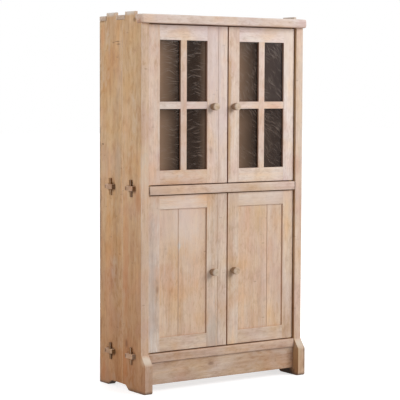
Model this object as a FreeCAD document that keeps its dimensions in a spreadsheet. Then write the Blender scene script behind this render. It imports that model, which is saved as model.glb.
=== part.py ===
import FreeCAD, Part
import os
from types import SimpleNamespace
import Sketcher

doc = FreeCAD.newDocument("four_door_cabinet")

# Driving dimensions in millimetres; "from the front" means from the front edge of the side slabs
SIZES = {
    "width": 1000,            # outer face to outer face of the side slabs
    "depth": 400,             # side slab, front edge to back edge
    "side_thick": 43,
    "side_seam": 178,         # glue line between the two planks of a side, from the front
    "foot_reach": 36,         # how far the front foot stands forward
    "foot_break": 143,        # height where the foot starts to slope back
    "foot_shoulder": 191,     # height where the slope meets the front edge
    "foot_gap": 25,           # height of the cut-out between the feet
    "front_foot": 118,        # back corner of the front foot, from the front
    "rear_foot": 83,          # length of the back foot on the floor
    "foot_slope": 30,         # run of the sloped ends of the cut-out
    "foot_round": 12,
    "edge_round": 3,          # worn front edges
    "top_height": 1872,       # upper face of the top
    "top_thick": 23,
    "finger_rise": 15,        # side fingers above the top
    "finger_wide": 94,
    "finger_thick": 14,       # finger left on the outer face
    "finger_gap": 4,          # open joint behind a finger
    "front_finger": 60,       # front corner of the front finger, from the front
    "rear_finger": 239,       # front corner of the back finger, from the front
    "top_rail_deep": 59,
    "top_rail_over": 20,      # overhang at the front
    "top_rail_ends": 11,      # overhang past each side
    "rail_tall": 45,
    "rail_round": 6,
    "rail_end_round": 12,     # ends of the top front rail
    "rail_tenon": 20,
    "rail_tenon_tall": 26,
    "rail_tenon_thick": 18,
    "mid_height": 1028,       # upper face of the mid rail
    "base_height": 194,       # upper face of the base rail
    "apron_low": 37,
    "apron_recess": 9,
    "apron_thick": 22,
    "shelf_thick": 23,
    "mid_drop": 1,            # mid shelf below the face of its rail
    "base_drop": 4,          # bottom shelf below the face of its rail
    "tenon_wide": 70,
    "tenon_reach": 19,        # through tenon past the side
    "front_tenon": 90,        # centre of the front tenon, from the front
    "rear_tenon": 284,        # centre of the back tenon, from the front
    "wedge_wide": 16,
    "wedge_tall": 86,
    "wedge_thin": 9,          # thickness at the lower end
    "wedge_thick": 13,        # thickness at the upper end
    "wedge_draw": 2,          # slot reaches this far inside the side face
    "fit": 0.2,               # clearance round a tenon
    "back_thick": 12,
    "back_lap": 10,
    "inner_shelf_thick": 18,
    "shelf_setback": 66,      # front edge of the inner shelves, from the front
    "upper_shelf_top": 1434,
    "lower_shelf_top": 600,
    "cleat": 20,
    "stop_tall": 45,
    "stop_thick": 18,
    "stop_play": 0.8,         # between a closed door and its stop
    "door_recess": 14,        # door face behind the front
    "door_thick": 26,
    "gap": 4,                 # round each door
    "meeting_gap": 6,         # between the strip and the right door
    "strip_wide": 56,
    "stile_wide": 69,
    "foot_rail": 72,
    "glass_head": 75,         # head rail of a glazed door
    "panel_head": 69,         # head rail of a panelled door
    "bar_wide": 37,
    "lip": 12,                # wood in front of the glass
    "rabbet": 8,
    "glass_thick": 4,
    "pane_play": 1,           # between a pane's edge and its rabbet
    "door_tenon": 30,
    "door_tenon_thick": 9,
    "tenon_shoulder": 12,
    "bar_tenon": 16,
    "hinge_flat": 0.5,        # the round back corner of a hinge edge stops this short of the pin line
    "hinge_nose": 6,          # front corner of a hinge edge
    "pin_radius": 5,
    "pin_reach": 18,          # pivot pin in the rail
    "pin_seat": 30,           # pivot pin in the stile
    "pin_play": 0.05,         # radial running clearance
    "collar_radius": 9,
    "collar_play": 0.2,
    "panel_recess": 7,        # panel face behind the door face
    "panel_thick": 12,
    "panel_groove": 9,
    "panel_play": 1,          # between a panel's edge and the floor of its groove
    "panel_bevel": 3,         # V joint between two panel boards
    "left_seam": 115,         # V joint from the hinge stile, left door
    "right_seam": 97,         # V joint from the hinge stile, right door
    "knob_radius": 19,
    "knob_reach": 39,
    "knob_neck": 17,
    "knob_flare": 12,
    "knob_round": 3,
    "spigot_radius": 6,
    "spigot_long": 20,
    "upper_knob": 1419,       # height of the knobs
    "lower_knob": 580,
}
BACK_BOARDS = 3

sheet = doc.addObject("Spreadsheet::Sheet", "Sheet")
for row, (alias, number) in enumerate(SIZES.items(), start=1):
    sheet.set(f"A{row}", alias)
    sheet.set(f"B{row}", str(number))
    sheet.setAlias(f"B{row}", alias)
doc.recompute()


class Size:
    """A length that carries its sheet formula along with its present value."""

    def __init__(self, text, value):
        self.text = text
        self.value = value

    def joined(self, other, sign, value):
        return Size(f"({self.text} {sign} {other.text})", value)

    def __add__(self, other):
        other = as_size(other)
        return self.joined(other, "+", self.value + other.value)

    def __sub__(self, other):
        other = as_size(other)
        return self.joined(other, "-", self.value - other.value)

    def __mul__(self, other):
        other = as_size(other)
        return self.joined(other, "*", self.value * other.value)

    def __truediv__(self, other):
        other = as_size(other)
        return self.joined(other, "/", self.value / other.value)

    def __neg__(self):
        return Size(f"(-1 * {self.text})", -self.value)


def as_size(amount):
    return amount if isinstance(amount, Size) else Size(repr(amount), amount)


S = SimpleNamespace(**{alias: Size(f"Sheet.{alias}", number) for alias, number in SIZES.items()})
nodes = []


def node(label, obj):
    """Gives a finished sub-part its name."""
    obj.Label = label
    nodes.append(obj)
    return obj


def bind(obj, **formulas):
    for prop, amount in formulas.items():
        obj.setExpression(prop, as_size(amount).text)


def place(obj, x, y, z):
    for axis, amount in zip("xyz", (x, y, z)):
        obj.setExpression(f"Placement.Base.{axis}", as_size(amount).text)


def block(name, x, y, z):
    """Rectangular piece between pairs of planes."""
    box = doc.addObject("Part::Box", name)
    bind(box, Length=x[1] - x[0], Width=y[1] - y[0], Height=z[1] - z[0])
    place(box, x[0], y[0], z[0])
    return box


def fuse(name, pieces):
    union = doc.addObject("Part::MultiFuse", name)
    union.Shapes = pieces
    union.Refine = True
    return union


def group(name, pieces):
    cluster = doc.addObject("Part::Compound", name)
    cluster.Links = pieces
    return cluster


def carve(name, base, cutters):
    result = doc.addObject("Part::Cut", name)
    result.Base = base
    result.Tool = cutters[0] if len(cutters) == 1 else fuse(f"{name}_cutters", cutters)
    return result


def hold(sketch, line, letter, amount, kind, axis):
    """Ties the start of an outline's side to a sketch axis, or to a formula."""
    amount = as_size(amount)
    if amount.value == 0:
        sketch.addConstraint(Sketcher.Constraint("PointOnObject", line, 1, axis))
        return
    index = sketch.addConstraint(Sketcher.Constraint(kind, -1, 1, line, 1, amount.value))
    sketch.renameConstraint(index, f"{letter}{line}")
    sketch.setExpression(f"Constraints.{letter}{line}", amount.text)


def outline(name, plane, corners):
    """A body with a closed outline on one of its planes; each corner is a pair of lengths."""
    body = doc.addObject("PartDesign::Body", name)
    sketch = body.newObject("Sketcher::SketchObject", f"{name}_outline")
    support = next(item for item in body.Origin.OriginFeatures if item.Role == plane)
    sketch.AttachmentSupport = [(support, "")]
    sketch.MapMode = "FlatFace"
    points = [FreeCAD.Vector(as_size(u).value, as_size(v).value, 0) for u, v in corners]
    following = points[1:] + points[:1]
    sketch.addGeometry([Part.LineSegment(a, b) for a, b in zip(points, following)])
    for line in range(len(corners)):
        sketch.addConstraint(Sketcher.Constraint("Coincident", line, 2, (line + 1) % len(corners), 1))
    for line, (u, v) in enumerate(corners):
        hold(sketch, line, "u", u, "DistanceX", -2)
        hold(sketch, line, "v", v, "DistanceY", -1)
    return body, sketch


def padded(name, plane, corners, length):
    """An outline carried straight along its plane's normal."""
    body, sketch = outline(name, plane, corners)
    pad = body.newObject("PartDesign::Pad", f"{name}_pad")
    pad.Profile = sketch
    bind(pad, Length=length)
    return body, pad


def rounded(body, feature, radius, chosen):
    """Rounds the edges of a feature that the test picks."""
    doc.recompute()
    names = [f"Edge{i}" for i, edge in enumerate(feature.Shape.Edges, start=1) if chosen(edge)]
    fillet = body.newObject("PartDesign::Fillet", f"{body.Name}_round")
    fillet.Base = (feature, names)
    bind(fillet, Radius=radius)
    return fillet


def along(edge, axis):
    """True for a straight edge parallel to an axis given by its number."""
    ends = [vertex.Point for vertex in edge.Vertexes]
    return len(ends) == 2 and all(abs(ends[0][i] - ends[1][i]) < 0.001 for i in range(3) if i != axis)


def near(number, amount):
    return abs(number - as_size(amount).value) < 0.01


# Places that several pieces share
outer = S.width / 2
inner = outer - S.side_thick
front = (S.foot_reach - S.depth) / 2
back = front + S.depth
board_face = back - S.back_thick
top_under = S.top_height - S.top_thick
rail_under = S.top_height - S.rail_tall
door_face = front + S.door_recess
door_back = door_face + S.door_thick
door_mid = door_face + S.door_thick / 2
rail_back = door_back + S.stop_play
mid_shelf_top = S.mid_height - S.mid_drop
base_shelf_top = S.base_height - S.base_drop
SIDES = {"left": -1, "right": 1}
TENONS = {"front": S.front_tenon, "rear": S.rear_tenon}
SHELVES = {"mid": mid_shelf_top, "bottom": base_shelf_top}
RAILS = {"mid": S.mid_height, "base": S.base_height}


def across(side, low, high):
    """A span given for the right half of the cabinet, or its mirror image for the left."""
    return (low, high) if side == "right" else (-high, -low)


def grown(span, amount):
    return span[0] - amount, span[1] + amount


def centred(middle, size):
    return middle - size / 2, middle + size / 2


def tenon_span(which):
    return centred(front + TENONS[which], S.tenon_wide)


def shelf_span(which):
    return SHELVES[which] - S.shelf_thick, SHELVES[which]


def rail_tenon_spans(top):
    """Depth and height of the stub tenon at the end of a rail."""
    depth_span = centred((front + rail_back) / 2, S.rail_tenon_thick)
    return depth_span, centred(top - S.rail_tall / 2, S.rail_tenon_tall)


# Side slabs: two edge-glued planks, each ending in a foot below and a finger above
finger_top = S.top_height + S.finger_rise
rail_seat = S.top_rail_deep - S.top_rail_over
finger_face = outer - S.finger_thick
reach = S.foot_reach
FINGERS = {"front": S.front_finger, "rear": S.rear_finger}
FRONT_PLANK = [
    (0, 0),
    (reach + S.front_foot, 0),
    (reach + S.front_foot + S.foot_slope, S.foot_gap),
    (reach + S.side_seam, S.foot_gap),
    (reach + S.side_seam, top_under),
    (reach + S.front_finger + S.finger_wide, top_under),
    (reach + S.front_finger + S.finger_wide, finger_top),
    (reach + S.front_finger, finger_top),
    (reach + S.front_finger, top_under),
    (reach + rail_seat, top_under),
    (reach + rail_seat, rail_under),
    (reach, rail_under),
    (reach, S.foot_shoulder),
    (0, S.foot_break),
]
REAR_PLANK = [
    (S.side_seam, S.foot_gap),
    (S.depth - S.rear_foot - S.foot_slope, S.foot_gap),
    (S.depth - S.rear_foot, 0),
    (S.depth, 0),
    (S.depth, top_under),
    (S.rear_finger + S.finger_wide, top_under),
    (S.rear_finger + S.finger_wide, finger_top),
    (S.rear_finger, finger_top),
    (S.rear_finger, top_under),
    (S.side_seam, top_under),
]


def finger_span(which):
    return front + FINGERS[which], front + FINGERS[which] + S.finger_wide


def plank_cuts(side, which):
    """Rebate behind the finger, through mortises for the shelf tenons, blind ones for the rails."""
    through = across(side, inner - S.fit, outer + S.fit)
    behind_finger = across(side, inner - S.fit, finger_face)
    finger = grown(finger_span(which), S.fit)
    cutters = [block(f"{side}_{which}_finger_rebate", behind_finger, finger, (top_under, finger_top + S.fit))]
    for shelf in SHELVES:
        spans = grown(tenon_span(which), S.fit), grown(shelf_span(shelf), S.fit)
        cutters.append(block(f"{side}_{which}_{shelf}_mortise", through, *spans))
    if which == "front":
        blind = across(side, inner - S.fit, inner + S.rail_tenon + S.fit)
        for rail, top in RAILS.items():
            depth_span, height_span = rail_tenon_spans(top)
            spans = grown(depth_span, S.fit), grown(height_span, S.fit)
            cutters.append(block(f"{side}_{rail}_rail_mortise", blind, *spans))
    return cutters


def on_floor(edge):
    return along(edge, 0) and near(edge.CenterOfMass.z, 0)


def on_front(edge):
    return along(edge, 2) and near(edge.CenterOfMass.y, reach)


for side in SIDES:
    for which, corners in (("front", FRONT_PLANK), ("rear", REAR_PLANK)):
        body, pad = padded(f"{side}_{which}_slab", "YZ_Plane", corners, S.side_thick)
        if which == "front":
            foot = rounded(body, pad, S.foot_round, on_floor)
            rounded(body, foot, S.edge_round, on_front)
        place(body, across(side, inner, outer)[0], front - reach if which == "front" else front, 0)
        plank = carve(f"{side}_{which}_cut", body, plank_cuts(side, which))
        node(f"{side}_side_{which}_plank", plank)

# Top board: notched at both ends so that the side fingers stand up through it
board = block("top_slab", (-outer, outer), (front + rail_seat, back), (top_under, S.top_height))
notches = []
for side in SIDES:
    for which in FINGERS:
        nose, heel = finger_span(which)
        finger = (nose - S.fit, heel + S.finger_gap)
        through = grown((top_under, S.top_height), S.fit)
        end = across(side, finger_face - S.fit, outer + S.fit)
        notches.append(block(f"{side}_{which}_notch", end, finger, through))
node("top_board", carve("top_cut", board, notches))

# Pivot holes: one for each pin, in the rail above or below the door
hinge_x = inner - S.gap
pin_x = hinge_x - S.door_thick / 2
meet_x = (S.strip_wide + S.meeting_gap) / 2
LEVELS = {
    "upper": (S.mid_height + S.gap, rail_under - S.gap),
    "lower": (S.base_height + S.gap, S.mid_height - S.rail_tall - S.gap),
}


def post(name, x, y, z, radius):
    """Round upright piece between two heights."""
    cylinder = doc.addObject("Part::Cylinder", name)
    bind(cylinder, Radius=radius, Height=z[1] - z[0])
    place(cylinder, x, y, z[0])
    return cylinder


def pivot_holes(rail, starts):
    """Holes that run from each given height span, at both hinge edges."""
    holes = []
    radius = S.pin_radius + S.pin_play
    for side, sign in SIDES.items():
        for number, span in enumerate(starts):
            holes.append(post(f"{rail}_{side}_hole_{number}", pin_x * sign, door_mid, span, radius))
    return holes


# Top front rail: thick, overhanging, with round ends and every edge worn round
length = S.width + S.top_rail_ends * 2
corners = [(0, 0), (S.top_rail_deep, 0), (S.top_rail_deep, S.rail_tall), (0, S.rail_tall)]
body, pad = padded("top_rail", "YZ_Plane", corners, length)
ends = rounded(body, pad, S.rail_end_round, lambda edge: along(edge, 1))
rounded(body, ends, S.rail_round, lambda edge: not along(edge, 1))
place(body, -outer - S.top_rail_ends, front - S.top_rail_over, rail_under)
up_into = (rail_under - S.gap, rail_under + S.pin_reach + S.fit)
node("top_front_rail", carve("top_rail_cut", body, pivot_holes("top_rail", [up_into])))

# Mid rail and base rail: stub-tenoned into the sides, front edges rounded
for rail, top in RAILS.items():
    deep = rail_back - front
    corners = [(0, 0), (deep, 0), (deep, S.rail_tall), (0, S.rail_tall)]
    body, pad = padded(f"{rail}_bar", "YZ_Plane", corners, inner * 2)
    rounded(body, pad, S.rail_round, lambda edge: along(edge, 0) and near(edge.CenterOfMass.y, 0))
    place(body, -inner, front, top - S.rail_tall)
    stub = block(f"{rail}_stub", (-inner - S.rail_tenon, inner + S.rail_tenon), *rail_tenon_spans(top))
    starts = [(top - S.pin_reach - S.fit, top + S.gap)]
    if rail == "mid":
        starts.append((top - S.rail_tall - S.gap, top - S.rail_tall + S.pin_reach + S.fit))
    whole = fuse(f"{rail}_whole", [body, stub])
    node(f"{rail}_rail", carve(f"{rail}_cut", whole, pivot_holes(rail, starts)))

# Apron: a plain board hung under the base rail, a little behind its face
apron_face = front + S.apron_recess
apron_span = (apron_face, apron_face + S.apron_thick)
node("apron", block("apron_board", (-inner, inner), apron_span, (S.apron_low, S.base_height - S.rail_tall)))

# Fixed shelves: two tenons at each end pass through the sides and are slotted for a tusk wedge


def wedge_run(height):
    """Thickness of a tusk wedge at a height above its lower end."""
    return S.wedge_thin + (S.wedge_thick - S.wedge_thin) * (height / S.wedge_tall)


def tapered(name, side, middle, low, corners, wide):
    """A tapered piece standing against the outside of a side slab; corners run outwards and up."""
    body, pad = padded(name, "XZ_Plane", corners, wide)
    if side == "left":
        body.Placement.Rotation = FreeCAD.Rotation(FreeCAD.Vector(0, 0, 1), 180)
        place(body, -outer + S.wedge_draw, middle - wide / 2, low)
    else:
        place(body, outer - S.wedge_draw, middle + wide / 2, low)
    return body


wedges = {"left": [], "right": []}
for shelf, top in SHELVES.items():
    heights = shelf_span(shelf)
    base = block(f"{shelf}_board", (-inner, inner), (rail_back, board_face), heights)
    pieces = [base]
    slots = []
    wedge_low = (heights[0] + heights[1] - S.wedge_tall) / 2
    tenon_low = (S.wedge_tall - S.shelf_thick) / 2
    tenon_high = tenon_low + S.shelf_thick
    for which, middle in TENONS.items():
        span = (-outer - S.tenon_reach, outer + S.tenon_reach)
        pieces.append(block(f"{shelf}_{which}_tenon", span, tenon_span(which), heights))
        for side in SIDES:
            slot = [
                (0, 0),
                (S.wedge_draw + wedge_run(tenon_low) + S.fit, 0),
                (S.wedge_draw + wedge_run(tenon_high) + S.fit, S.shelf_thick),
                (0, S.shelf_thick),
            ]
            name = f"{side}_{shelf}_{which}"
            place_y = front + middle
            slots.append(tapered(f"{name}_slot", side, place_y, heights[0], slot, S.wedge_wide + S.fit * 2))
            wedge = [
                (S.wedge_draw, 0),
                (S.wedge_draw + S.wedge_thin, 0),
                (S.wedge_draw + S.wedge_thick, S.wedge_tall),
                (S.wedge_draw, S.wedge_tall),
            ]
            wedges[side].append(tapered(f"{name}_wedge", side, place_y, wedge_low, wedge, S.wedge_wide))
    node(f"{shelf}_shelf", carve(f"{shelf}_shelf_cut", fuse(f"{shelf}_shelf_whole", pieces), slots))
for side, pieces in wedges.items():
    node(f"{side}_tusk_wedges", group(f"{side}_wedges", pieces))

# Back boards: upright, half-lapped to each other between the sides
pitch = inner * 2 / BACK_BOARDS
half = S.back_thick / 2
for number in range(BACK_BOARDS):
    first = number == 0
    last = number == BACK_BOARDS - 1
    low = as_size(0) if first else S.back_lap
    high = low + pitch
    corners = [(low, 0), (high, 0)]
    if last:
        corners += [(high, S.back_thick)]
    else:
        corners += [(high, half), (high - S.back_lap, half), (high - S.back_lap, S.back_thick)]
    corners += [(0, S.back_thick)]
    if not first:
        corners += [(0, half), (low, half)]
    base_under = base_shelf_top - S.shelf_thick
    body, pad = padded(f"back_plank_{number + 1}", "XY_Plane", corners, top_under - base_under)
    place(body, pitch * number - inner - low, board_face, base_under)
    node(f"back_board_{number + 1}", body)

# Inner shelves: loose boards on cleats fixed to the sides
cleats = []
shelf_depth = (front + S.shelf_setback, board_face)
for level, top in (("upper", S.upper_shelf_top), ("lower", S.lower_shelf_top)):
    under = top - S.inner_shelf_thick
    loose = grown((-inner, inner), -S.fit)
    node(f"{level}_inner_shelf", block(f"{level}_loose", loose, shelf_depth, (under, top)))
    for side in SIDES:
        cleat_x = across(side, inner - S.cleat, inner)
        cleats.append(block(f"{level}_{side}_cleat", cleat_x, shelf_depth, (under - S.cleat, under)))
node("shelf_cleats", group("cleats", cleats))

# Door stops: battens behind the heads of the doors
for level, hung_from in (("upper", top_under), ("lower", mid_shelf_top - S.shelf_thick)):
    depth_span = (rail_back, rail_back + S.stop_thick)
    batten = block(f"{level}_stop", (-inner, inner), depth_span, (hung_from - S.stop_tall, hung_from))
    node(f"{level}_door_stop", batten)

# Doors: stiles run the full height, rails are tenoned between them
tenon_depth = centred(door_mid, S.door_tenon_thick)
panel_face = door_face + S.panel_recess
panel_depth = (panel_face, panel_face + S.panel_thick)
rabbet_depth = (door_face + S.lip, door_back + S.fit)
open_low = meet_x + S.stile_wide
open_high = hinge_x - S.stile_wide
stile_tenons = (open_low - S.door_tenon, open_high + S.door_tenon)
bar_core = S.bar_wide - S.rabbet * 2
bar_x = (open_low + open_high) / 2
socket_deep = S.rabbet + bar_core / 3
knob_x = meet_x + S.stile_wide / 2
HEADS = {"upper": S.glass_head, "lower": S.panel_head}
KNOBS = {"upper": S.upper_knob, "lower": S.lower_knob}
SEAMS = {"left": S.left_seam, "right": S.right_seam}


def rail_tenon_height(span):
    return span[0] + S.tenon_shoulder, span[1] - S.tenon_shoulder


def door_spans(level):
    """Heights of a door's foot rail, opening and head rail."""
    low, high = LEVELS[level]
    opening = (low + S.foot_rail, high - HEADS[level])
    return (low, opening[0]), opening, (opening[1], high)


def recess_span(level, opening):
    """Height and depth of the rabbet or groove that takes the glass or the panel."""
    if level == "upper":
        return grown(opening, S.rabbet), rabbet_depth, S.rabbet
    return grown(opening, S.panel_groove), grown(panel_depth, S.fit), S.panel_groove


def door_stile(side, level, edge):
    """Stile with its mortises and rabbet; the hinge stile is rounded about its pivot pins."""
    name = f"{side}_{level}_{edge}"
    foot, opening, head = door_spans(level)
    span = across(side, *((open_high, hinge_x) if edge == "hinge" else (meet_x, open_low)))
    heights = LEVELS[level]
    corners = [(0, 0), (S.stile_wide, 0), (S.stile_wide, S.door_thick), (0, S.door_thick)]
    body, pad = padded(f"{name}_upright", "XY_Plane", corners, heights[1] - heights[0])
    if edge == "hinge":
        outside = 0 if side == "left" else S.stile_wide

        def corner(depth):
            return lambda item: (
                along(item, 2) and near(item.CenterOfMass.x, outside) and near(item.CenterOfMass.y, depth)
            )

        turned = rounded(body, pad, S.door_thick / 2 - S.hinge_flat, corner(S.door_thick))
        rounded(body, turned, S.hinge_nose, corner(0))
    place(body, span[0], door_face, heights[0])
    cutters = []
    for rail, rail_span in (("foot", foot), ("head", head)):
        mortise = across(side, *grown(stile_tenons, S.fit))
        spans = grown(tenon_depth, S.fit), grown(rail_tenon_height(rail_span), S.fit)
        cutters.append(block(f"{name}_{rail}_mortise", mortise, *spans))
    recess_height, recess_depth, recess = recess_span(level, opening)
    recess_x = across(side, *grown((open_low, open_high), recess))
    cutters.append(block(f"{name}_recess", recess_x, recess_depth, recess_height))
    if level == "upper":
        middle = centred((opening[0] + opening[1]) / 2, bar_core)
        bar_reach = across(side, *grown((open_low, open_high), S.bar_tenon + S.fit))
        spans = grown(tenon_depth, S.fit), grown(middle, S.fit)
        cutters.append(block(f"{name}_bar_mortise", bar_reach, *spans))
    if edge == "hinge":
        x = pin_x * SIDES[side]
        seat = S.pin_seat + S.fit
        low = (heights[0] - S.gap, heights[0] + seat)
        high = (heights[1] - seat, heights[1] + S.gap)
        for end, z in (("foot", low), ("head", high)):
            cutters.append(post(f"{name}_{end}_hole", x, door_mid, z, S.pin_radius + S.pin_play))
    else:
        hole = doc.addObject("Part::Cylinder", f"{name}_knob_hole")
        bind(hole, Radius=S.spigot_radius + S.fit, Height=S.spigot_long + S.gap)
        hole.Placement.Rotation = FreeCAD.Rotation(FreeCAD.Vector(1, 0, 0), -90)
        place(hole, knob_x * SIDES[side], door_face - S.gap + S.fit, KNOBS[level])
        cutters.append(hole)
    node(f"{level}_{side}_{edge}_stile", carve(f"{name}_cut", body, cutters))


def door_rail(side, level, which, span, opening):
    """Rail between the stiles, with a tenon at each end and the recess along its inner edge."""
    name = f"{side}_{level}_{which}_rail"
    plain = block(f"{name}_plain", across(side, open_low, open_high), (door_face, door_back), span)
    tenon = block(f"{name}_tenon", across(side, *stile_tenons), tenon_depth, rail_tenon_height(span))
    recess_height, recess_depth, recess = recess_span(level, opening)
    recess_x = across(side, *grown((open_low, open_high), S.fit))
    cutters = [block(f"{name}_recess", recess_x, recess_depth, recess_height)]
    if level == "upper":
        x = across(side, *grown(centred(bar_x, bar_core), S.fit))
        spans = grown(tenon_depth, S.fit), grown(opening, S.bar_tenon + S.fit)
        cutters.append(block(f"{name}_bar_mortise", x, *spans))
    node(f"{level}_{side}_{which}_rail", carve(name, fuse(f"{name}_whole", [plain, tenon]), cutters))


def turned_knob(side, level):
    """Turned wooden knob: a spigot in the stile and a drum that is a little narrower at its foot."""
    name = f"{side}_{level}_knob"
    profile = [
        (0, 0),
        (S.spigot_radius, 0),
        (S.spigot_radius, S.spigot_long),
        (S.knob_neck, S.spigot_long),
        (S.knob_radius, S.spigot_long + S.knob_flare),
        (S.knob_radius, S.spigot_long + S.knob_reach),
        (0, S.spigot_long + S.knob_reach),
    ]
    body, sketch = outline(name, "XY_Plane", profile)
    turning = body.newObject("PartDesign::Revolution", f"{name}_turning")
    turning.Profile = sketch
    turning.ReferenceAxis = (sketch, ["V_Axis"])
    turning.Angle = 360
    end = S.spigot_long + S.knob_reach
    rounded(body, turning, S.knob_round, lambda edge: near(edge.BoundBox.YMin, end))
    body.Placement.Rotation = FreeCAD.Rotation(FreeCAD.Vector(0, 0, 1), 180)
    place(body, knob_x * SIDES[side], door_face + S.spigot_long, KNOBS[level])
    node(f"{level}_{side}_knob", body)


def pivot_pins(side, level):
    """A pin at each end of the hinge stile; a collar on the lower one carries the door."""
    name = f"{side}_{level}_pin"
    low, high = LEVELS[level]
    x = pin_x * SIDES[side]
    lower = post(f"{name}_low", x, door_mid, (low - S.gap - S.pin_reach, low + S.pin_seat), S.pin_radius)
    collar = post(f"{name}_collar", x, door_mid, (low - S.gap + S.collar_play, low), S.collar_radius)
    upper = post(f"{name}_high", x, door_mid, (high - S.pin_seat, high + S.gap + S.pin_reach), S.pin_radius)
    node(f"{level}_{side}_pivot_pins", group(f"{name}s", [fuse(f"{name}_foot", [lower, collar]), upper]))


def glazing(side, opening):
    """Glazing bars, four panes against the lip, and the beads that hold them from behind."""
    name = f"{side}_glazing"
    bar_z = (opening[0] + opening[1]) / 2
    lip_depth = (door_face, door_face + S.lip)
    core_depth = (door_face + S.lip, door_back)
    upright_x = centred(bar_x, S.bar_wide)
    flange = block(f"{name}_flange", across(side, *upright_x), lip_depth, opening)
    core_x = across(side, *centred(bar_x, bar_core))
    core = block(f"{name}_core", core_x, core_depth, grown(opening, S.rabbet - S.fit))
    tenon = block(f"{name}_tenon", core_x, tenon_depth, grown(opening, S.bar_tenon))
    cross_core = centred(bar_z, bar_core)
    tee = fuse(f"{name}_tee", [flange, core, tenon])
    sockets = []
    meeting_socket = (upright_x[0], upright_x[0] + socket_deep)
    hinge_socket = (upright_x[1] - socket_deep, upright_x[1])
    for bay, x in (("meeting", meeting_socket), ("hinge", hinge_socket)):
        spans = grown(tenon_depth, S.fit), grown(cross_core, S.fit)
        sockets.append(block(f"{name}_{bay}_socket", across(side, *grown(x, S.fit)), *spans))
    node(f"upper_{side}_upright_bar", carve(f"{name}_upright", tee, sockets))
    bays = {"meeting": (open_low, upright_x[0]), "hinge": (upright_x[1], open_high)}
    bars = []
    panes = []
    beads = []
    for bay, x in bays.items():
        reaches = (S.bar_tenon, socket_deep)
        reach_low, reach_high = reaches if bay == "meeting" else reaches[::-1]
        cross = centred(bar_z, S.bar_wide)
        tenons = across(side, x[0] - reach_low, x[1] + reach_high)
        bars.append(fuse(f"{name}_{bay}_bar", [
            block(f"{name}_{bay}_flange", across(side, *x), lip_depth, cross),
            block(f"{name}_{bay}_core", across(side, *grown(x, S.rabbet - S.fit)), core_depth, cross_core),
            block(f"{name}_{bay}_tenon", tenons, tenon_depth, cross_core),
        ]))
        rows = {"low": (opening[0], cross[0]), "high": (cross[1], opening[1])}
        for row, z in rows.items():
            tag = f"{name}_{bay}_{row}"
            glass = grown(x, S.rabbet - S.pane_play)
            behind = (door_face + S.lip, door_face + S.lip + S.glass_thick)
            panes.append(block(f"{tag}_pane", across(side, *glass), behind, grown(z, S.rabbet - S.pane_play)))
            rim_x = grown(x, S.rabbet - S.fit)
            rim_z = grown(z, S.rabbet - S.fit)
            bead_depth = (behind[1], door_back)
            for end, strip in (("foot", (rim_z[0], z[0])), ("head", (z[1], rim_z[1]))):
                beads.append(block(f"{tag}_{end}_bead", across(side, *rim_x), bead_depth, strip))
            for end, strip in (("left", (rim_x[0], x[0])), ("right", (x[1], rim_x[1]))):
                beads.append(block(f"{tag}_{end}_bead", across(side, *strip), bead_depth, z))
    node(f"upper_{side}_cross_bars", group(f"{name}_bars", bars))
    node(f"upper_{side}_glass_panes", group(f"{name}_panes", panes))
    node(f"upper_{side}_glazing_beads", group(f"{name}_beads", beads))


def panelling(side, opening):
    """Two boards in the grooves of the frame, bevelled to a V where they meet."""
    tongue = S.panel_groove - S.panel_play
    heights = grown(opening, tongue)
    bevel = S.panel_bevel
    widths = {"hinge": SEAMS[side] + tongue, "meeting": open_high - open_low - SEAMS[side] + tongue}
    for bay, wide in widths.items():
        seam_right = (bay == "hinge") == (side == "left")
        if seam_right:
            corners = [(0, 0), (wide - bevel, 0), (wide, bevel), (wide, S.panel_thick), (0, S.panel_thick)]
        else:
            corners = [(0, bevel), (bevel, 0), (wide, 0), (wide, S.panel_thick), (0, S.panel_thick)]
        body, pad = padded(f"{side}_{bay}_panel", "XY_Plane", corners, heights[1] - heights[0])
        edge = open_high + tongue - wide if bay == "hinge" else open_low - tongue
        place(body, across(side, edge, edge + wide)[0], panel_face, heights[0])
        node(f"lower_{side}_{bay}_panel_board", body)


for level in LEVELS:
    for side in SIDES:
        foot, opening, head = door_spans(level)
        for edge in ("hinge", "meeting"):
            door_stile(side, level, edge)
        for which, span in (("foot", foot), ("head", head)):
            door_rail(side, level, which, span, opening)
        if level == "upper":
            glazing(side, opening)
        else:
            panelling(side, opening)
        turned_knob(side, level)
        pivot_pins(side, level)
    # the wide strip that closes the middle is carried by the left door
    strip_x = (-meet_x, -meet_x + S.strip_wide)
    node(f"{level}_meeting_strip", block(f"{level}_strip", strip_x, (door_face, door_back), LEVELS[level]))

doc.recompute()
for obj in doc.Objects:
    if "Invalid" in obj.State or "Error" in obj.State:
        raise RuntimeError(f"{obj.Label} failed to build: {obj.State}")
for obj in nodes:
    if obj.Shape.isNull() or not obj.Shape.isValid():
        raise RuntimeError(f"{obj.Label} has no valid shape")
os.makedirs("parts", exist_ok=True)
for obj in nodes:
    obj.Shape.exportStep(f"parts/{obj.Label}.step")
print(len(nodes), "nodes written")
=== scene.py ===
import math

import bpy
import numpy as np
from mathutils import Matrix, Vector


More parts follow.
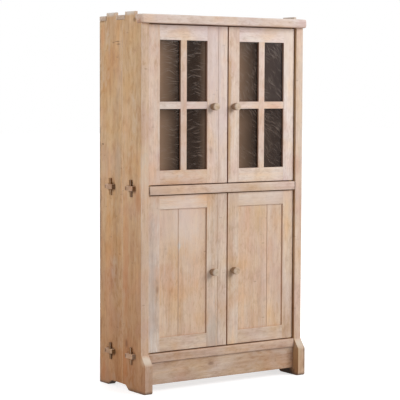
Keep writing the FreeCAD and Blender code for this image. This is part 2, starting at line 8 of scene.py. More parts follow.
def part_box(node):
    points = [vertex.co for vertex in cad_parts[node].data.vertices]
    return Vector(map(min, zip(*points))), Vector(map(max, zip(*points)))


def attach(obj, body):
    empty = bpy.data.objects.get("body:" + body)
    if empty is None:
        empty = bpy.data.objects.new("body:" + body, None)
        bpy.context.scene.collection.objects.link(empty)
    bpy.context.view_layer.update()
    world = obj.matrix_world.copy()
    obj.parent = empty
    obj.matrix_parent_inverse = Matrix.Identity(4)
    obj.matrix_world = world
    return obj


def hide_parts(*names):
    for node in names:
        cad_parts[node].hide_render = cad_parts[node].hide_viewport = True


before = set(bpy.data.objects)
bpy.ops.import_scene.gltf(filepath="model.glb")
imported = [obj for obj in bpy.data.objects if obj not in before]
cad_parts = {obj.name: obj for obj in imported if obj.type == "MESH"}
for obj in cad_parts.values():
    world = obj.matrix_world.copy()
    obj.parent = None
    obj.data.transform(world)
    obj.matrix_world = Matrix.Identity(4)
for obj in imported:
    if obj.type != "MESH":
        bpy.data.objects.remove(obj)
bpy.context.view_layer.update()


# Side slabs: each is two thick planks of old softwood glued edge to edge, sawn into feet
# below and into fingers that stand up through the top. The timber is bleached and limewashed,
# warmer and darker towards the floor, with its arrises worn round by handling and given a painted
# highlight, and with painted shade in the foot cutouts and around the tenons.

class Value:
    """A shader socket that takes part in Python expressions; every operator adds one Math node."""

    def __init__(self, tree, socket):
        self.tree = tree
        self.socket = socket

    def math(self, operation, first, second, clamp=False):
        node = self.tree.nodes.new("ShaderNodeMath")
        node.operation = operation
        node.use_clamp = clamp
        for index, item in enumerate((first, second)):
            if isinstance(item, Value):
                self.tree.links.new(item.socket, node.inputs[index])
            else:
                node.inputs[index].default_value = item
        return Value(self.tree, node.outputs[0])

    def __add__(self, other):
        return self.math("ADD", self, other)

    __radd__ = __add__

    def __sub__(self, other):
        return self.math("SUBTRACT", self, other)

    def __rsub__(self, other):
        return self.math("SUBTRACT", other, self)

    def __mul__(self, other):
        return self.math("MULTIPLY", self, other)

    __rmul__ = __mul__

    def __pow__(self, other):
        return self.math("POWER", self, other)

    def held(self):
        """The value kept between 0 and 1."""
        return self.math("ADD", self, 0.0, clamp=True)

    def rise(self, low, high):
        """Goes from 0 to 1, in a straight line, as the value goes from low to high."""
        return self.math("MULTIPLY", self - low, 1 / (high - low), clamp=True)


class Finish:
    """A material, or the surround, in the making: one shader and the nodes that feed it."""

    def __init__(self, owner, shader="Principled BSDF"):
        owner.use_nodes = True
        self.owner = owner
        self.tree = owner.node_tree
        self.surface = self.tree.nodes[shader]

    def feed(self, node, key, item):
        """Gives a socket, found by its name or identifier, a value or a link."""
        socket = next(s for s in node.inputs if key in (s.identifier, s.name))
        if isinstance(item, Value):
            self.tree.links.new(item.socket, socket)
        else:
            socket.default_value = item

    def add(self, kind, settings=None, sockets=None, output=0):
        """A node of a kind: its settings are made first, then its sockets get values or links."""
        node = self.tree.nodes.new(kind)
        for key, item in (settings or {}).items():
            setattr(node, key, item)
        for key, item in (sockets or {}).items():
            self.feed(node, key, item)
        return Value(self.tree, node.outputs[output])

    def give(self, **sockets):
        """Sets the shader's own sockets, with an underscore for each space in a name."""
        for key, item in sockets.items():
            self.feed(self.surface, key.replace("_", " "), item)
        return self.owner

    def mix(self, factor, first, second, blend="MIX"):
        """A colour between two colours."""
        sockets = {"Factor_Float": factor, "A_Color": first, "B_Color": second}
        return self.add("ShaderNodeMix", {"data_type": "RGBA", "blend_type": blend}, sockets, output=2)

    def vector(self, operation, first, second):
        """A vector worked out from two others."""
        sockets = {"Vector": first, "Vector_001": second}
        return self.add("ShaderNodeVectorMath", {"operation": operation}, sockets)

    def distance(self, where):
        """How far a place lies from the origin of its coordinates."""
        return self.add("ShaderNodeVectorMath", {"operation": "LENGTH"}, {"Vector": where}, output=1)

    def part(self, vector, axis):
        """One of a vector's three parts."""
        return self.add("ShaderNodeSeparateXYZ", None, {"Vector": vector}, output=axis)

    def place(self, shift=(0, 0, 0), scale=(1, 1, 1), turn=(0, 0, 0), about=(0, 0, 0)):
        """Object coordinates measured from a point, then stretched, turned and shifted."""
        where = self.vector("SUBTRACT", self.add("ShaderNodeTexCoord", output=3), about)
        sockets = {"Vector": where, "Location": shift, "Rotation": turn, "Scale": scale}
        return self.add("ShaderNodeMapping", None, sockets)

    def noise(self, where, scale, detail=2.0, roughness=0.5, distortion=0.0):
        """A cloudy value from 0 to 1."""
        sockets = {"Vector": where, "Scale": scale, "Detail": detail, "Roughness": roughness,
                   "Distortion": distortion}
        return self.add("ShaderNodeTexNoise", None, sockets)

    def mark(self, name):
        """A value that the piece's mesh carries at each point; 0 where it has none."""
        return self.add("ShaderNodeAttribute", {"attribute_name": name}, output=2)


def linear(red, green, blue):
    """A colour as seen on a screen, 0 to 255, as the linear values that a shader takes."""
    seen = np.array([red, green, blue]) / 255
    straight = np.where(seen <= 0.04045, seen / 12.92, ((seen + 0.055) / 1.055) ** 2.4)
    return (*straight.tolist(), 1.0)


# Noises of the timber: origin, squeeze along the grain, then scale, detail, roughness and distortion.
GRAIN_LAYERS = {
    "bands": (0, 0.06, 15, 2, 0.55, 0.5),
    "streaks": (0, 0.07, 34, 4, 0.62, 0.5),
    "tints": (1, 0.22, 9, 3, 0.6, 0.5),
    "mottle": (0, 0.4, 48, 3, 0.62, 0.6),
    "fibres": (0, 0.014, 520, 2, 0.6, 0.0),
    "pores": (0, 0.05, 780, 1, 0.5, 0.0),
    "patches": (0, 0.4, 7.5, 4, 0.62, 0.4),
}
# Patches that run on across the joints: shift, then scale, detail, roughness and distortion.
GROUND_LAYERS = {"sunned": ((0, 0, 0), 5.5, 2, 0.5, 0.3), "flushed": ((4, 7, 2), 4.5, 2, 0.5, 0.3)}
# Casts over the grain: layer, its values where the cast starts and is full, strength and tone.
CASTS = (
    ("tints", 0.52, 0.68, 0.4, linear(246, 232, 236)),
    ("tints", 0.49, 0.33, 0.35, linear(254, 240, 210)),
    ("sunned", 0.52, 0.66, 0.6, linear(253, 239, 212)),
    ("sunned", 0.48, 0.34, 0.6, linear(244, 233, 238)),
    ("flushed", 0.54, 0.68, 0.5, linear(252, 230, 216)),
    ("bands", 0.54, 0.68, 0.5, linear(250, 228, 198)),
    ("mottle", 0.5, 0.3, 0.35, linear(210, 192, 170)),
)
GRAIN_MIDDLE = 0.96
GRAIN_HALF = 0.22
LATE_WOOD = linear(204, 174, 142)
CHALK = linear(233, 224, 217)
GREY_BLOOM = linear(198, 190, 184)
PORE = linear(146, 110, 82)
KNOT_HALO = linear(206, 166, 130)
KNOT_CORE = linear(116, 80, 54)
NICK = linear(132, 98, 68)
WORN_HIGHLIGHT = linear(240, 228, 214)
RAW_EDGE = linear(118, 70, 38)
SAWN_END = linear(196, 168, 140)
LOWER_TONE = linear(206, 168, 138)
FOOT_BAND_TONE = linear(84, 66, 53)
PITH_AWAY = (0.03, 0.11)
RING_TILT = (0.1, 0.24)
RING_SPACING = (0.009, 0.015)
RING_PITCH = 0.314
RELIEF_DEPTH = 0.0009


def limewashed(node, along, pale, deep, seed, wash=0.35, darker_below=0.0, knots=0.75, front=None,
               end_grain=0.0, bloom=0.3, edge=RAW_EDGE, marks=(), edge_highlight=0.0, figure=1.0):
    """Bleached softwood for the board at a CAD node, its grain running along one axis.

    Growth rings lie about a line beside the board and tilt to it, so they cut its face in arches. The
    layers are noises squeezed along the grain. Chalky wash and grey bloom lie in patches, knots are the
    cores of sparse cells, nicks are short bruises across the grain, and the wood darkens towards the
    floor. Pale arrises, worn and with a painted highlight, and dark edges, raw wood and painted shade in
    gaps, on reveals and on the sides of knobs, follow the marks on the piece's mesh. Faces that look
    forward can have colours of their own, and sawn ends darken. Single marks are soft ellipsoids: place,
    reach along the three axes, colour and strength.
    """
    wood = Finish(bpy.data.materials.new(f"{node}_timber"))
    draw = np.random.default_rng(seed)
    shift = tuple(draw.uniform(-9, 9, 3).tolist())
    low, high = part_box(node)
    beside = Vector(draw.uniform(*PITH_AWAY, 3) * draw.choice([-1, 1], 3))
    beside[along] = 0
    pith = tuple((low + high) / 2 + beside)
    tilt = tuple((draw.uniform(*RING_TILT, 3) * draw.choice([-1, 1], 3)).tolist())
    spacing = draw.uniform(*RING_SPACING)

    def squeezed(amount):
        """Scales that shorten the coordinates along the grain alone, which draws a pattern out."""
        return tuple(amount if axis == along else 1.0 for axis in range(3))

    rings = wood.add("ShaderNodeTexWave",
                     {"wave_type": "RINGS", "rings_direction": "XYZ"[along], "wave_profile": "SAW"},
                     {"Vector": wood.place(scale=squeezed(0.2), turn=tilt, about=pith),
                      "Scale": RING_PITCH / spacing, "Distortion": 7.0, "Detail": 3.0,
                      "Detail Scale": 0.3, "Detail Roughness": 0.65}, output=1)
    layers = {name: wood.noise(wood.place(shift, squeezed(squeeze), about=(origin,) * 3), *kind)
              for name, (origin, squeeze, *kind) in GRAIN_LAYERS.items()}
    layers.update((name, wood.noise(wood.place(ground), *kind))
                  for name, (ground, *kind) in GROUND_LAYERS.items())
    bands, streaks, mottle, fibres, patches = (
        layers[name] for name in ("bands", "streaks", "mottle", "fibres", "patches"))
    pores = layers["pores"].rise(0.62, 0.72)
    late = rings ** 3.0
    normal = wood.add("ShaderNodeTexCoord", output=1)
    facing = [wood.part(normal, axis) for axis in range(3)]
    forward = (0 - facing[1]).rise(0.35, 0.75)
    if front:
        pale = wood.mix(forward, pale, front[0])
        deep = wood.mix(forward, deep, front[1])

    grain = bands + streaks * 0.42 + fibres * 0.2 + mottle * 0.3
    half = GRAIN_HALF / figure
    colour = wood.mix(grain.rise(GRAIN_MIDDLE - half, GRAIN_MIDDLE + half), deep, pale)
    for name, start, full, strength, cast in CASTS:
        colour = wood.mix(layers[name].rise(start, full) * strength, colour, cast, "MULTIPLY")
    colour = wood.mix(late * patches.rise(0.36, 0.66) * 0.24, colour, LATE_WOOD, "MULTIPLY")
    chalk = patches.rise(0.45, 0.68) * fibres.rise(0.34, 0.6) * wash
    colour = wood.mix(chalk.held(), colour, CHALK)
    grey = (patches.rise(0.5, 0.34) * mottle.rise(0.4, 0.62) * bloom).held()
    colour = wood.mix(grey, colour, GREY_BLOOM)
    colour = wood.mix(pores * 0.4, colour, PORE)

    cell = wood.add("ShaderNodeTexVoronoi", None,
                    {"Vector": wood.place(shift, squeezed(0.5)), "Scale": 6.5})
    knot = (1 - cell.rise(0.04, 0.085)) * knots
    halo = (1 - cell.rise(0.06, 0.22)) * knots
    colour = wood.mix(halo * 0.35, colour, KNOT_HALO, "MULTIPLY")
    colour = wood.mix(knot * 0.75, colour, KNOT_CORE)
    bruise = wood.add("ShaderNodeTexVoronoi", None,
                      {"Vector": wood.place(shift, squeezed(3.4), about=(2, 1, 3)), "Scale": 8.0})
    nick = (1 - bruise.rise(0.05, 0.1)) * knots
    colour = wood.mix(nick * 0.5, colour, NICK)
    for centre, reach, tone, strength in marks:
        away = wood.place(scale=tuple(1 / length for length in reach), about=centre)
        near = (wood.distance(away) + (mottle - 0.5) * 1.2).rise(1.0, 0.35) * strength
        colour = wood.mix(near, colour, tone)

    # Pale arrises: worn wood along the arris marks, and a painted highlight on faces turned halfway
    # between front and side.
    across = facing[0] * facing[1] * facing[0] * facing[1] * 4
    arris = (wood.mark("arris") * 0.55 + across * edge_highlight) * streaks.rise(0.3, 0.55)
    colour = wood.mix(arris.held(), colour, WORN_HIGHLIGHT)
    # Dark edges from the marks: raw wood on backs and ends, and painted shade in the gaps, on the
    # reveals and under the top rail.
    colour = wood.mix(wood.mark("raw_and_shade") * 0.85, colour, edge)
    if end_grain:
        sawn = (facing[along] * facing[along]).rise(0.5, 0.85) * end_grain
        colour = wood.mix(sawn, colour, SAWN_END, "MULTIPLY")
    # Darker towards the floor, less so on faces that look forward, and darker again in a thin band at
    # the very bottom.
    if darker_below:
        height = wood.part(wood.place(), 2)
        low_down = (1 - height.rise(0.05, 1.2)) * (1 - forward * 0.75) * darker_below
        colour = wood.mix(low_down.held(), colour, LOWER_TONE, "MULTIPLY")
        foot_band = (1 - height.rise(0.002, 0.018)) * (0.45 + patches * 0.7)
        colour = wood.mix(foot_band.held(), colour, FOOT_BAND_TONE)
    relief = fibres * 0.4 + late * 0.6 + mottle * 0.5 - pores * 0.5 - knot * 0.6 - nick * 0.8
    bump = {"Strength": 0.4, "Distance": RELIEF_DEPTH, "Height": relief}
    return wood.give(Base_Color=colour, Roughness=(0.58 + fibres * 0.24).held(),
                     Normal=wood.add("ShaderNodeBump", None, bump), Specular_IOR_Level=0.28)


def dress(node, material):
    """Gives a CAD piece its material."""
    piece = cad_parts[node]
    piece.data.materials.clear()
    piece.data.materials.append(material)


WELD_WITHIN = 0.00002
FLAT_WITHIN = math.radians(1)
EASED_ABOVE = math.radians(35)


def worn_edges(node, width, segments=3):
    """Rounds a CAD piece's arrises: its triangles are joined, flat ones merged, sharp edges eased."""
    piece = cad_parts[node]
    welded = piece.modifiers.new("joined", "WELD")
    welded.merge_threshold = WELD_WITHIN
    flat = piece.modifiers.new("flat", "DECIMATE")
    flat.decimate_type = "DISSOLVE"
    flat.angle_limit = FLAT_WITHIN
    eased = piece.modifiers.new("eased", "BEVEL")
    eased.width = width
    eased.segments = segments
    eased.loop_slide = False
    eased.limit_method = "ANGLE"
    eased.angle_limit = EASED_ABOVE


PLANK_PALE = linear(216, 185, 147)
PLANK_DEEP = linear(180, 140, 98)
POST_PALE = {"left": linear(227, 201, 177), "right": linear(236, 213, 193)}
POST_DEEP = {"left": linear(199, 165, 134), "right": linear(210, 180, 153)}
PLANK_WEAR = 0.0035
PLANK_SEED = 11
UPRIGHT = 2
RUST = linear(204, 148, 104)
STRAW = linear(198, 166, 112)
BLEACHED = linear(210, 203, 196)
BRUISE = linear(112, 82, 50)
OLIVE_LIGHT = linear(218, 192, 152)
CLEAN = linear(228, 216, 199)
GREASE_AND_SHADE = linear(118, 98, 82)
CUTOUT_SHADE = linear(38, 26, 18)
DUSTY = linear(172, 160, 146)
EMBER = linear(180, 124, 80)
JOINT_SHADE_AND_GRIME = linear(96, 66, 42)
JOINT_REACH = (0.03, 0.050, 0.027)
JOINT_STRENGTH = 0.8
WEDGE_WIDE = 0.016
wedge_low, wedge_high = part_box("left_tusk_wedges")
TENON_MIDDLES = {"front": wedge_low.y + WEDGE_WIDE / 2, "rear": wedge_high.y - WEDGE_WIDE / 2}
SHELF_MIDDLES = {shelf: sum(corner.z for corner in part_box(shelf)) / 2
                 for shelf in ("mid_shelf", "bottom_shelf")}
# Stains, wear, painted shade and painted light by plank: place, reach, colour and strength.
SIDE_MARKS = {
    "left_side_front": (
        ((-0.5, -0.075, 1.888), (0.04, 0.07, 0.024), BLEACHED, 0.8),
        ((-0.5, -0.116, 1.845), (0.02, 0.016, 0.013), BRUISE, 0.65),
        ((-0.5, -0.019, 1.862), (0.02, 0.007, 0.03), BRUISE, 0.7),
        ((-0.5, -0.14, 1.72), (0.02, 0.03, 0.12), STRAW, 0.2),
        ((-0.5, -0.15, 1.45), (0.03, 0.06, 0.4), BRUISE, 0.12),
        ((-0.5, -0.155, 0.95), (0.03, 0.04, 0.11), EMBER, 0.6),
        ((-0.5, -0.038, 0.7), (0.03, 0.035, 0.45), RUST, 0.45),
        ((-0.5, -0.03, 0.11), (0.02, 0.02, 0.11), RUST, 0.5),
        ((-0.485, -0.2, 1.1), (0.05, 0.05, 0.17), CLEAN, 0.5),
        ((-0.485, -0.2, 0.65), (0.05, 0.05, 0.45), CLEAN, 0.15),
        ((-0.48, -0.2, 0.168), (0.05, 0.03, 0.035), CLEAN, 0.85),
        ((-0.48, -0.21, 0.06), (0.08, 0.06, 0.12), BRUISE, 0.15),
    ),
    "left_side_rear": (
        ((-0.5, 0.226, 0.95), (0.06, 0.028, 1.6), GREASE_AND_SHADE, 0.75),
        ((-0.5, 0.036, 0.95), (0.03, 0.04, 1.2), BRUISE, 0.14),
        ((-0.5, 0.036, 1.13), (0.03, 0.035, 0.14), DUSTY, 0.3),
        ((-0.5, 0.104, 1.888), (0.04, 0.07, 0.024), BLEACHED, 0.8),
        ((-0.5, 0.158, 1.852), (0.02, 0.007, 0.03), BRUISE, 0.6),
        ((-0.5, 0.188, 1.845), (0.02, 0.034, 0.005), BRUISE, 0.6),
        ((-0.5, 0.044, 1.742), (0.02, 0.032, 0.005), BRUISE, 0.7),
        ((-0.5, 0.081, 1.738), (0.02, 0.014, 0.005), BRUISE, 0.6),
        ((-0.5, 0.04, 1.729), (0.02, 0.028, 0.005), BRUISE, 0.6),
        ((-0.5, 0.184, 1.765), (0.02, 0.022, 0.09), RUST, 0.55),
        ((-0.5, 0.184, 1.227), (0.02, 0.014, 0.005), BRUISE, 0.8),
        ((-0.5, 0.175, 0.075), (0.02, 0.03, 0.07), RUST, 0.5),
        # Painted shade in the dark hollow of the foot cutout, near the floor.
        ((-0.478, 0.12, 0.012), (0.028, 0.03, 0.03), CUTOUT_SHADE, 0.9),
    ),
    "right_side_front": (
        # Painted light: a pale olive tone that lifts the shaded inner face of the right front foot.
        ((0.457, -0.195, 0.12), (0.02, 0.05, 0.13), OLIVE_LIGHT, 0.8),
        # Painted shade in the dark hollow of the foot cutout behind the right front foot.
        ((0.457, -0.12, 0.012), (0.02, 0.075, 0.045), CUTOUT_SHADE, 0.95),
        ((0.48, -0.2, 0.168), (0.05, 0.03, 0.035), CLEAN, 0.85),
        ((0.48, -0.21, 0.08), (0.08, 0.06, 0.13), BRUISE, 0.2),
        # Painted shade along the rounded outer front edge of the right foot.
        ((0.502, -0.218, 0.08), (0.014, 0.04, 0.12), GREASE_AND_SHADE, 0.65),
        ((0.5, -0.2, 1.45), (0.04, 0.04, 0.7), BLEACHED, 0.4),
        ((0.48, -0.075, 1.888), (0.08, 0.12, 0.03), BLEACHED, 0.8),
    ),
    "right_side_rear": (
        ((0.48, 0.104, 1.888), (0.08, 0.12, 0.03), BLEACHED, 0.8),
    ),
}
for number, (plank, marks) in enumerate(SIDE_MARKS.items()):
    side, which = plank.split("_side_")
    node = f"{plank}_plank"
    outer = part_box(node)[0].x if side == "left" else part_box(node)[1].x
    # Painted shade with some grime: a dark skirt on the side's face around each tenon and its wedge.
    joints = [((outer, TENON_MIDDLES[which], height), JOINT_REACH, JOINT_SHADE_AND_GRIME, JOINT_STRENGTH)
              for height in SHELF_MIDDLES.values()]
    worn_edges(node, PLANK_WEAR)
    dress(node, limewashed(node, UPRIGHT, PLANK_PALE, PLANK_DEEP, PLANK_SEED + number, wash=0.25,
                           darker_below=0.7, front=(POST_PALE[side], POST_DEEP[side]), end_grain=0.5,
                           marks=(*marks, *joints), edge_highlight=0.7, figure=0.7))


# Fixed shelves: boards whose end tenons pass right through the sides. The same bleached timber,
# with the sawn tenon ends dulled by handling, and with painted shade on the faces that look forward,
# the fronts of the tenons among them.

SHELF_PALE = linear(222, 198, 174)
SHELF_DEEP = linear(184, 150, 120)
TENON_SHADE_PALE = linear(150, 116, 74)
TENON_SHADE_DEEP = linear(106, 78, 47)
TENON_HALF = 0.034
BRUISE_REACH = (0.02, 0.017, 0.013)
BRUISE_STRENGTH = 0.8
SHELF_WEAR = 0.003
SHELF_SEED = 21
LENGTHWISE = 0
for number, (shelf, height) in enumerate(SHELF_MIDDLES.items()):
    bruises = [((end.x, middle + TENON_HALF, height), BRUISE_REACH, BRUISE, BRUISE_STRENGTH)
               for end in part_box(shelf) for middle in TENON_MIDDLES.values()]
    worn_edges(shelf, SHELF_WEAR)
    # The faces that look forward take the darker tenon colours: painted shade on the fronts of the
    # tenons.
    dress(shelf, limewashed(shelf, LENGTHWISE, SHELF_PALE, SHELF_DEEP, SHELF_SEED + number, wash=0.4,
                            bloom=0.1, front=(TENON_SHADE_PALE, TENON_SHADE_DEEP), end_grain=0.55, marks=bruises))


# Tusk wedges: tapered pegs of dark hardwood, hand cut and driven down through the tenons to
# draw the sides tight. Their heads are bruised by the mallet.

def gentle_waves(where, seed, rows, shortest):
    """Seeded waves, one row for each arris: the mean of five sines of drawn length and phase."""
    draw = np.random.default_rng(seed)
    length = draw.uniform(shortest, 6 * shortest, (rows, 5, 1))
    phase = draw.uniform(0, 2 * np.pi, (rows, 5, 1))
    return np.sin(2 * np.pi * where / length + phase).mean(axis=1)


BEND_STEPS = 4


def eased_outline(corners, bends, raw_and_shade):
    """A closed outline whose corners are bent round.

    Each bend is the parabola that meets its two sides at a bend's length from the corner:
    corner + bend * (backward * (1 - t)^2 + forward * t^2). Returns the points, the way each corner goes
    when its two sides move out by one, the points' own outward directions, how near each is to the
    middle of its bend, and how dark its side is, as raw wood and painted shade, blended across the bend.
    """
    corner = np.asarray(corners, float)
    backward = np.roll(corner, 1, axis=0) - corner
    forward = np.roll(corner, -1, axis=0) - corner
    backward /= np.linalg.norm(backward, axis=1, keepdims=True)
    forward /= np.linalg.norm(forward, axis=1, keepdims=True)
    before = np.stack([-backward[:, 1], backward[:, 0]], axis=-1)
    behind = np.stack([forward[:, 1], -forward[:, 0]], axis=-1)
    mitre = (before + behind) / (1 + (before * behind).sum(axis=1, keepdims=True))
    bend = np.broadcast_to(bends, len(corner))[:, None, None]
    t = np.linspace(0, 1, BEND_STEPS + 1)[None, :, None]
    points = corner[:, None] + bend * (backward[:, None] * (1 - t) ** 2 + forward[:, None] * t ** 2)
    tangent = forward[:, None] * t - backward[:, None] * (1 - t)
    outward = np.stack([tangent[..., 1], -tangent[..., 0]], axis=-1)
    outward /= np.linalg.norm(outward, axis=-1, keepdims=True)
    arris = np.broadcast_to(1 - np.abs(2 * t - 1), (len(corner), BEND_STEPS + 1, 1))
    side = np.broadcast_to(np.asarray(raw_and_shade, float), len(corner))
    edge_darkness = np.roll(side, 1)[:, None] * (1 - t[..., 0]) + side[:, None] * t[..., 0]
    mitre = np.repeat(mitre, BEND_STEPS + 1, axis=0)
    return points.reshape(-1, 2), mitre, outward.reshape(-1, 2), arris.reshape(-1), edge_darkness.reshape(-1)


def between_rings(index):
    """The four-sided faces between rows of numbered points, each row closed to a ring."""
    after = np.roll(index, -1, axis=1)
    return np.stack([index[:-1], after[:-1], after[1:], index[1:]], axis=-1).reshape(-1, 4).tolist()


END_STATIONS = 4
STATION_PITCH = 0.03
LONG_WAVE = 0.2
SHORT_WAVE = 0.04


def worn_bar(axis, low, high, corners, bends, raw_and_shade, seed, wear, end=0.0015, end_raw=1.0, taper=None):
    """A straight bar: an eased outline carried along one axis, from low to high.

    At each station the outline is drawn in by the quarter-round ends, by gentle waves all round, and by
    deeper rubs on its arrises, so wear only ever takes wood away. The corners go round anticlockwise in
    the two axes that follow the first; taper gives their places at the far end.
    """
    points, mitre, outward, arris, edge_darkness = eased_outline(corners, bends, raw_and_shade)
    far = points if taper is None else eased_outline(taper, bends, raw_and_shade)[0]
    quarter = np.linspace(0, np.pi / 2, END_STATIONS)
    run_in = end * (1 - np.cos(quarter))
    count = max(END_STATIONS, int((high - low) / STATION_PITCH))
    middle = np.linspace(low + 2 * end, high - 2 * end, count)
    stations = np.concatenate([low + run_in, middle, (high - run_in)[::-1]])
    rounding = end * (1 - np.sin(quarter))
    drawn_in = np.concatenate([rounding, np.zeros(count), rounding[::-1]])
    fall = np.linspace(1, 0, END_STATIONS)
    cut = np.concatenate([fall, np.zeros(count), fall[::-1]])
    even = wear * (0.5 + 0.5 * gentle_waves(stations, seed, 1, LONG_WAVE)[0])
    rubs = 4 * wear * np.maximum(gentle_waves(stations, seed + 1, len(corners), SHORT_WAVE), 0) ** 2
    rub = np.repeat(rubs, len(points) // len(corners), axis=0).T * arris
    inset = (drawn_in + even)[:, None, None]
    share = ((stations - low) / (high - low))[:, None, None]
    ring = points * (1 - share) + far * share - mitre * inset - outward * rub[..., None]
    shape = ring.shape[:2]
    place = np.empty((*shape, 3))
    place[..., axis] = stations[:, None]
    place[..., (axis + 1) % 3] = ring[..., 0]
    place[..., (axis + 2) % 3] = ring[..., 1]
    index = np.arange(len(stations) * len(points)).reshape(shape)
    faces = between_rings(index) + [index[0, ::-1].tolist(), index[-1].tolist()]
    marks = {"arris": np.broadcast_to(arris, shape),
             "raw_and_shade": np.maximum(np.broadcast_to(edge_darkness, shape), end_raw * cut[:, None])}
    return place.reshape(-1, 3), faces, marks


def joined(surfaces):
    """Several surfaces as one: points and marks end to end, faces numbered on."""
    points = np.concatenate([surface[0] for surface in surfaces])
    starts = np.cumsum([0] + [len(surface[0]) for surface in surfaces])
    faces = [[corner + int(start) for corner in face]
             for surface, start in zip(surfaces, starts) for face in surface[1]]
    marks = {name: np.concatenate([surface[2][name].ravel() for surface in surfaces])
             for name in surfaces[0][2]}
    return points, faces, marks


NORMAL_WEIGHT = 80


def fitted(name, surface, material, body, slot, *nodes):
    """Puts a surface in the scene as a piece that rides on a body and stands for CAD nodes."""
    points, faces, marks = surface
    mesh = bpy.data.meshes.new(name)
    mesh.from_pydata(points.tolist(), [], faces)
    for mark, values in marks.items():
        values = np.ascontiguousarray(values, dtype=np.float32).ravel()
        mesh.attributes.new(mark, "FLOAT", "POINT").data.foreach_set("value", values)
    mesh.shade_smooth()
    mesh.materials.append(material)
    piece = bpy.data.objects.new(name, mesh)
    bpy.context.collection.objects.link(piece)
    piece.modifiers.new("even_shading", "WEIGHTED_NORMAL").weight = NORMAL_WEIGHT
    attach(piece, body)
    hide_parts(*nodes)


def four_corners(low, high, axis):
    """The corners of a box seen along an axis, anticlockwise in the two axes that follow it."""
    first, second = (axis + 1) % 3, (axis + 2) % 3
    return [(low[first], low[second]), (high[first], low[second]),
            (high[first], high[second]), (low[first], high[second])]


WEDGE_PALE = linear(156, 112, 60)
WEDGE_DEEP = linear(106, 72, 36)
WEDGE_TALL = 0.086
WEDGE_THIN = 0.009
WEDGE_THICK = 0.013
WEDGE_BEND = 0.003
WEDGE_END = 0.0025
WEDGE_WEAR = 0.0006
WEDGE_SEED = 31
for side, sign in (("left", -1), ("right", 1)):
    low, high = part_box(f"{side}_side_front_plank")
    face = low.x if side == "left" else high.x
    pegs = []
    for height in SHELF_MIDDLES.values():
        foot = height - WEDGE_TALL / 2
        for middle in TENON_MIDDLES.values():
            ends = []
            for thick in (WEDGE_THIN, WEDGE_THICK):
                near, far = sorted((face, face + sign * thick))
                low = (near, middle - WEDGE_WIDE / 2)
                high = (far, middle + WEDGE_WIDE / 2)
                ends.append(four_corners(low, high, UPRIGHT))
            peg = worn_bar(UPRIGHT, foot, foot + WEDGE_TALL, ends[0], WEDGE_BEND, 0.0,
                           WEDGE_SEED + len(pegs), WEDGE_WEAR, WEDGE_END, end_raw=0.3, taper=ends[1])
            pegs.append(peg)
    node = f"{side}_tusk_wedges"
    stain = limewashed(node, UPRIGHT, WEDGE_PALE, WEDGE_DEEP, WEDGE_SEED, wash=0.05, bloom=0.0)
    fitted(f"{side}_wedge_pegs", joined(pegs), stain, "carcass", "wedge_wood", node)


# Top board, top rail, mid rail, base rail and apron: the boards that tie the sides together. The top
# rail is the thickest and overhangs the front and both sides; the others stand between the sides.

TOP_PALE = linear(239, 224, 217)
TOP_DEEP = linear(215, 193, 181)
# The dark colour of the rails' marked edges: painted shade beside the door gaps and under the top rail.
RAIL_EDGE_SHADE = linear(158, 102, 60)
RAIL_GAP = linear(70, 46, 34)
MID_DULLED = linear(186, 162, 148)
END_DULLED = linear(170, 146, 124)
TIE_PLAY = 0.0006
TIE_WEAR = 0.0008
# How dark the underside, back, top and face are: painted shade under the top rail and on the rails'
# faces beside the door gaps, raw wood on the back.
TOP_RAIL_SHADE = (0.7, 0, 0, 0)
TIE_SHADE_AND_RAW = (0.6, 0.4, 0.6, 0)
TOP_SEED = 41
TIE_SEED = 43
inner_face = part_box("right_side_front_plank")[0].x
mid_low, mid_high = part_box("mid_rail")
mid_height = (mid_low.z + mid_high.z) / 2
# Stains and dark joints: place, reach, colour and strength.
TOP_MARKS = tuple(((end, 0.05, 1.84), (0.03, 0.4, 0.1), END_DULLED, 0.75) for end in (-0.5, 0.5))
TIE_MARKS = {
    "top_front_rail": (
        ((-0.519, -0.186, 1.843), (0.012, 0.009, 0.008), BRUISE, 0.7),
    ),
    "mid_rail": (
        ((-0.42, mid_low.y, mid_high.z), (0.2, 0.1, 0.12), MID_DULLED, 0.5),
        ((-inner_face, mid_low.y, mid_height), (0.009, 0.1, 0.1), RAIL_GAP, 0.9),
        ((inner_face, mid_low.y, mid_height), (0.009, 0.1, 0.1), RAIL_GAP, 0.9),
    ),
}
worn_edges("top_board", SHELF_WEAR)
dress("top_board", limewashed("top_board", LENGTHWISE, TOP_PALE, TOP_DEEP, TOP_SEED, wash=0.45,
                              marks=TOP_MARKS))
# Pale and deep colour, bend of the arrises, rounding of the ends and wash of each tie.
ties = (
    ("top_front_rail", TOP_PALE, TOP_DEEP, 0.0065, 0.012, 0.6),
    ("mid_rail", linear(239, 221, 207), linear(211, 185, 165), 0.0055, 0.004, 0.4),
    ("base_rail", linear(217, 190, 169), linear(181, 149, 127), 0.0055, 0.004, 0.35),
    ("apron", linear(216, 192, 170), linear(182, 150, 124), 0.002, 0.0015, 0.45),
)
for number, (tie, pale, deep, bend, end, wash) in enumerate(ties):
    low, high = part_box(tie)
    overhangs = tie == "top_front_rail"
    reach = high.x if overhangs else inner_face - TIE_PLAY
    raw_and_shade, end_raw = (TOP_RAIL_SHADE, 0.25) if overhangs else (TIE_SHADE_AND_RAW, 1.0)
    bar = worn_bar(LENGTHWISE, -reach, reach, four_corners(low, high, LENGTHWISE), bend, raw_and_shade,
                   TOP_SEED + 3 * number, TIE_WEAR, end, end_raw)
    grain = limewashed(tie, LENGTHWISE, pale, deep, TIE_SEED + number, wash=wash, end_grain=0.35,
                       edge=RAIL_EDGE_SHADE, marks=TIE_MARKS.get(tie, ()))
    fitted(f"{tie}_board", bar, grain, "carcass", "front_wood", tie)


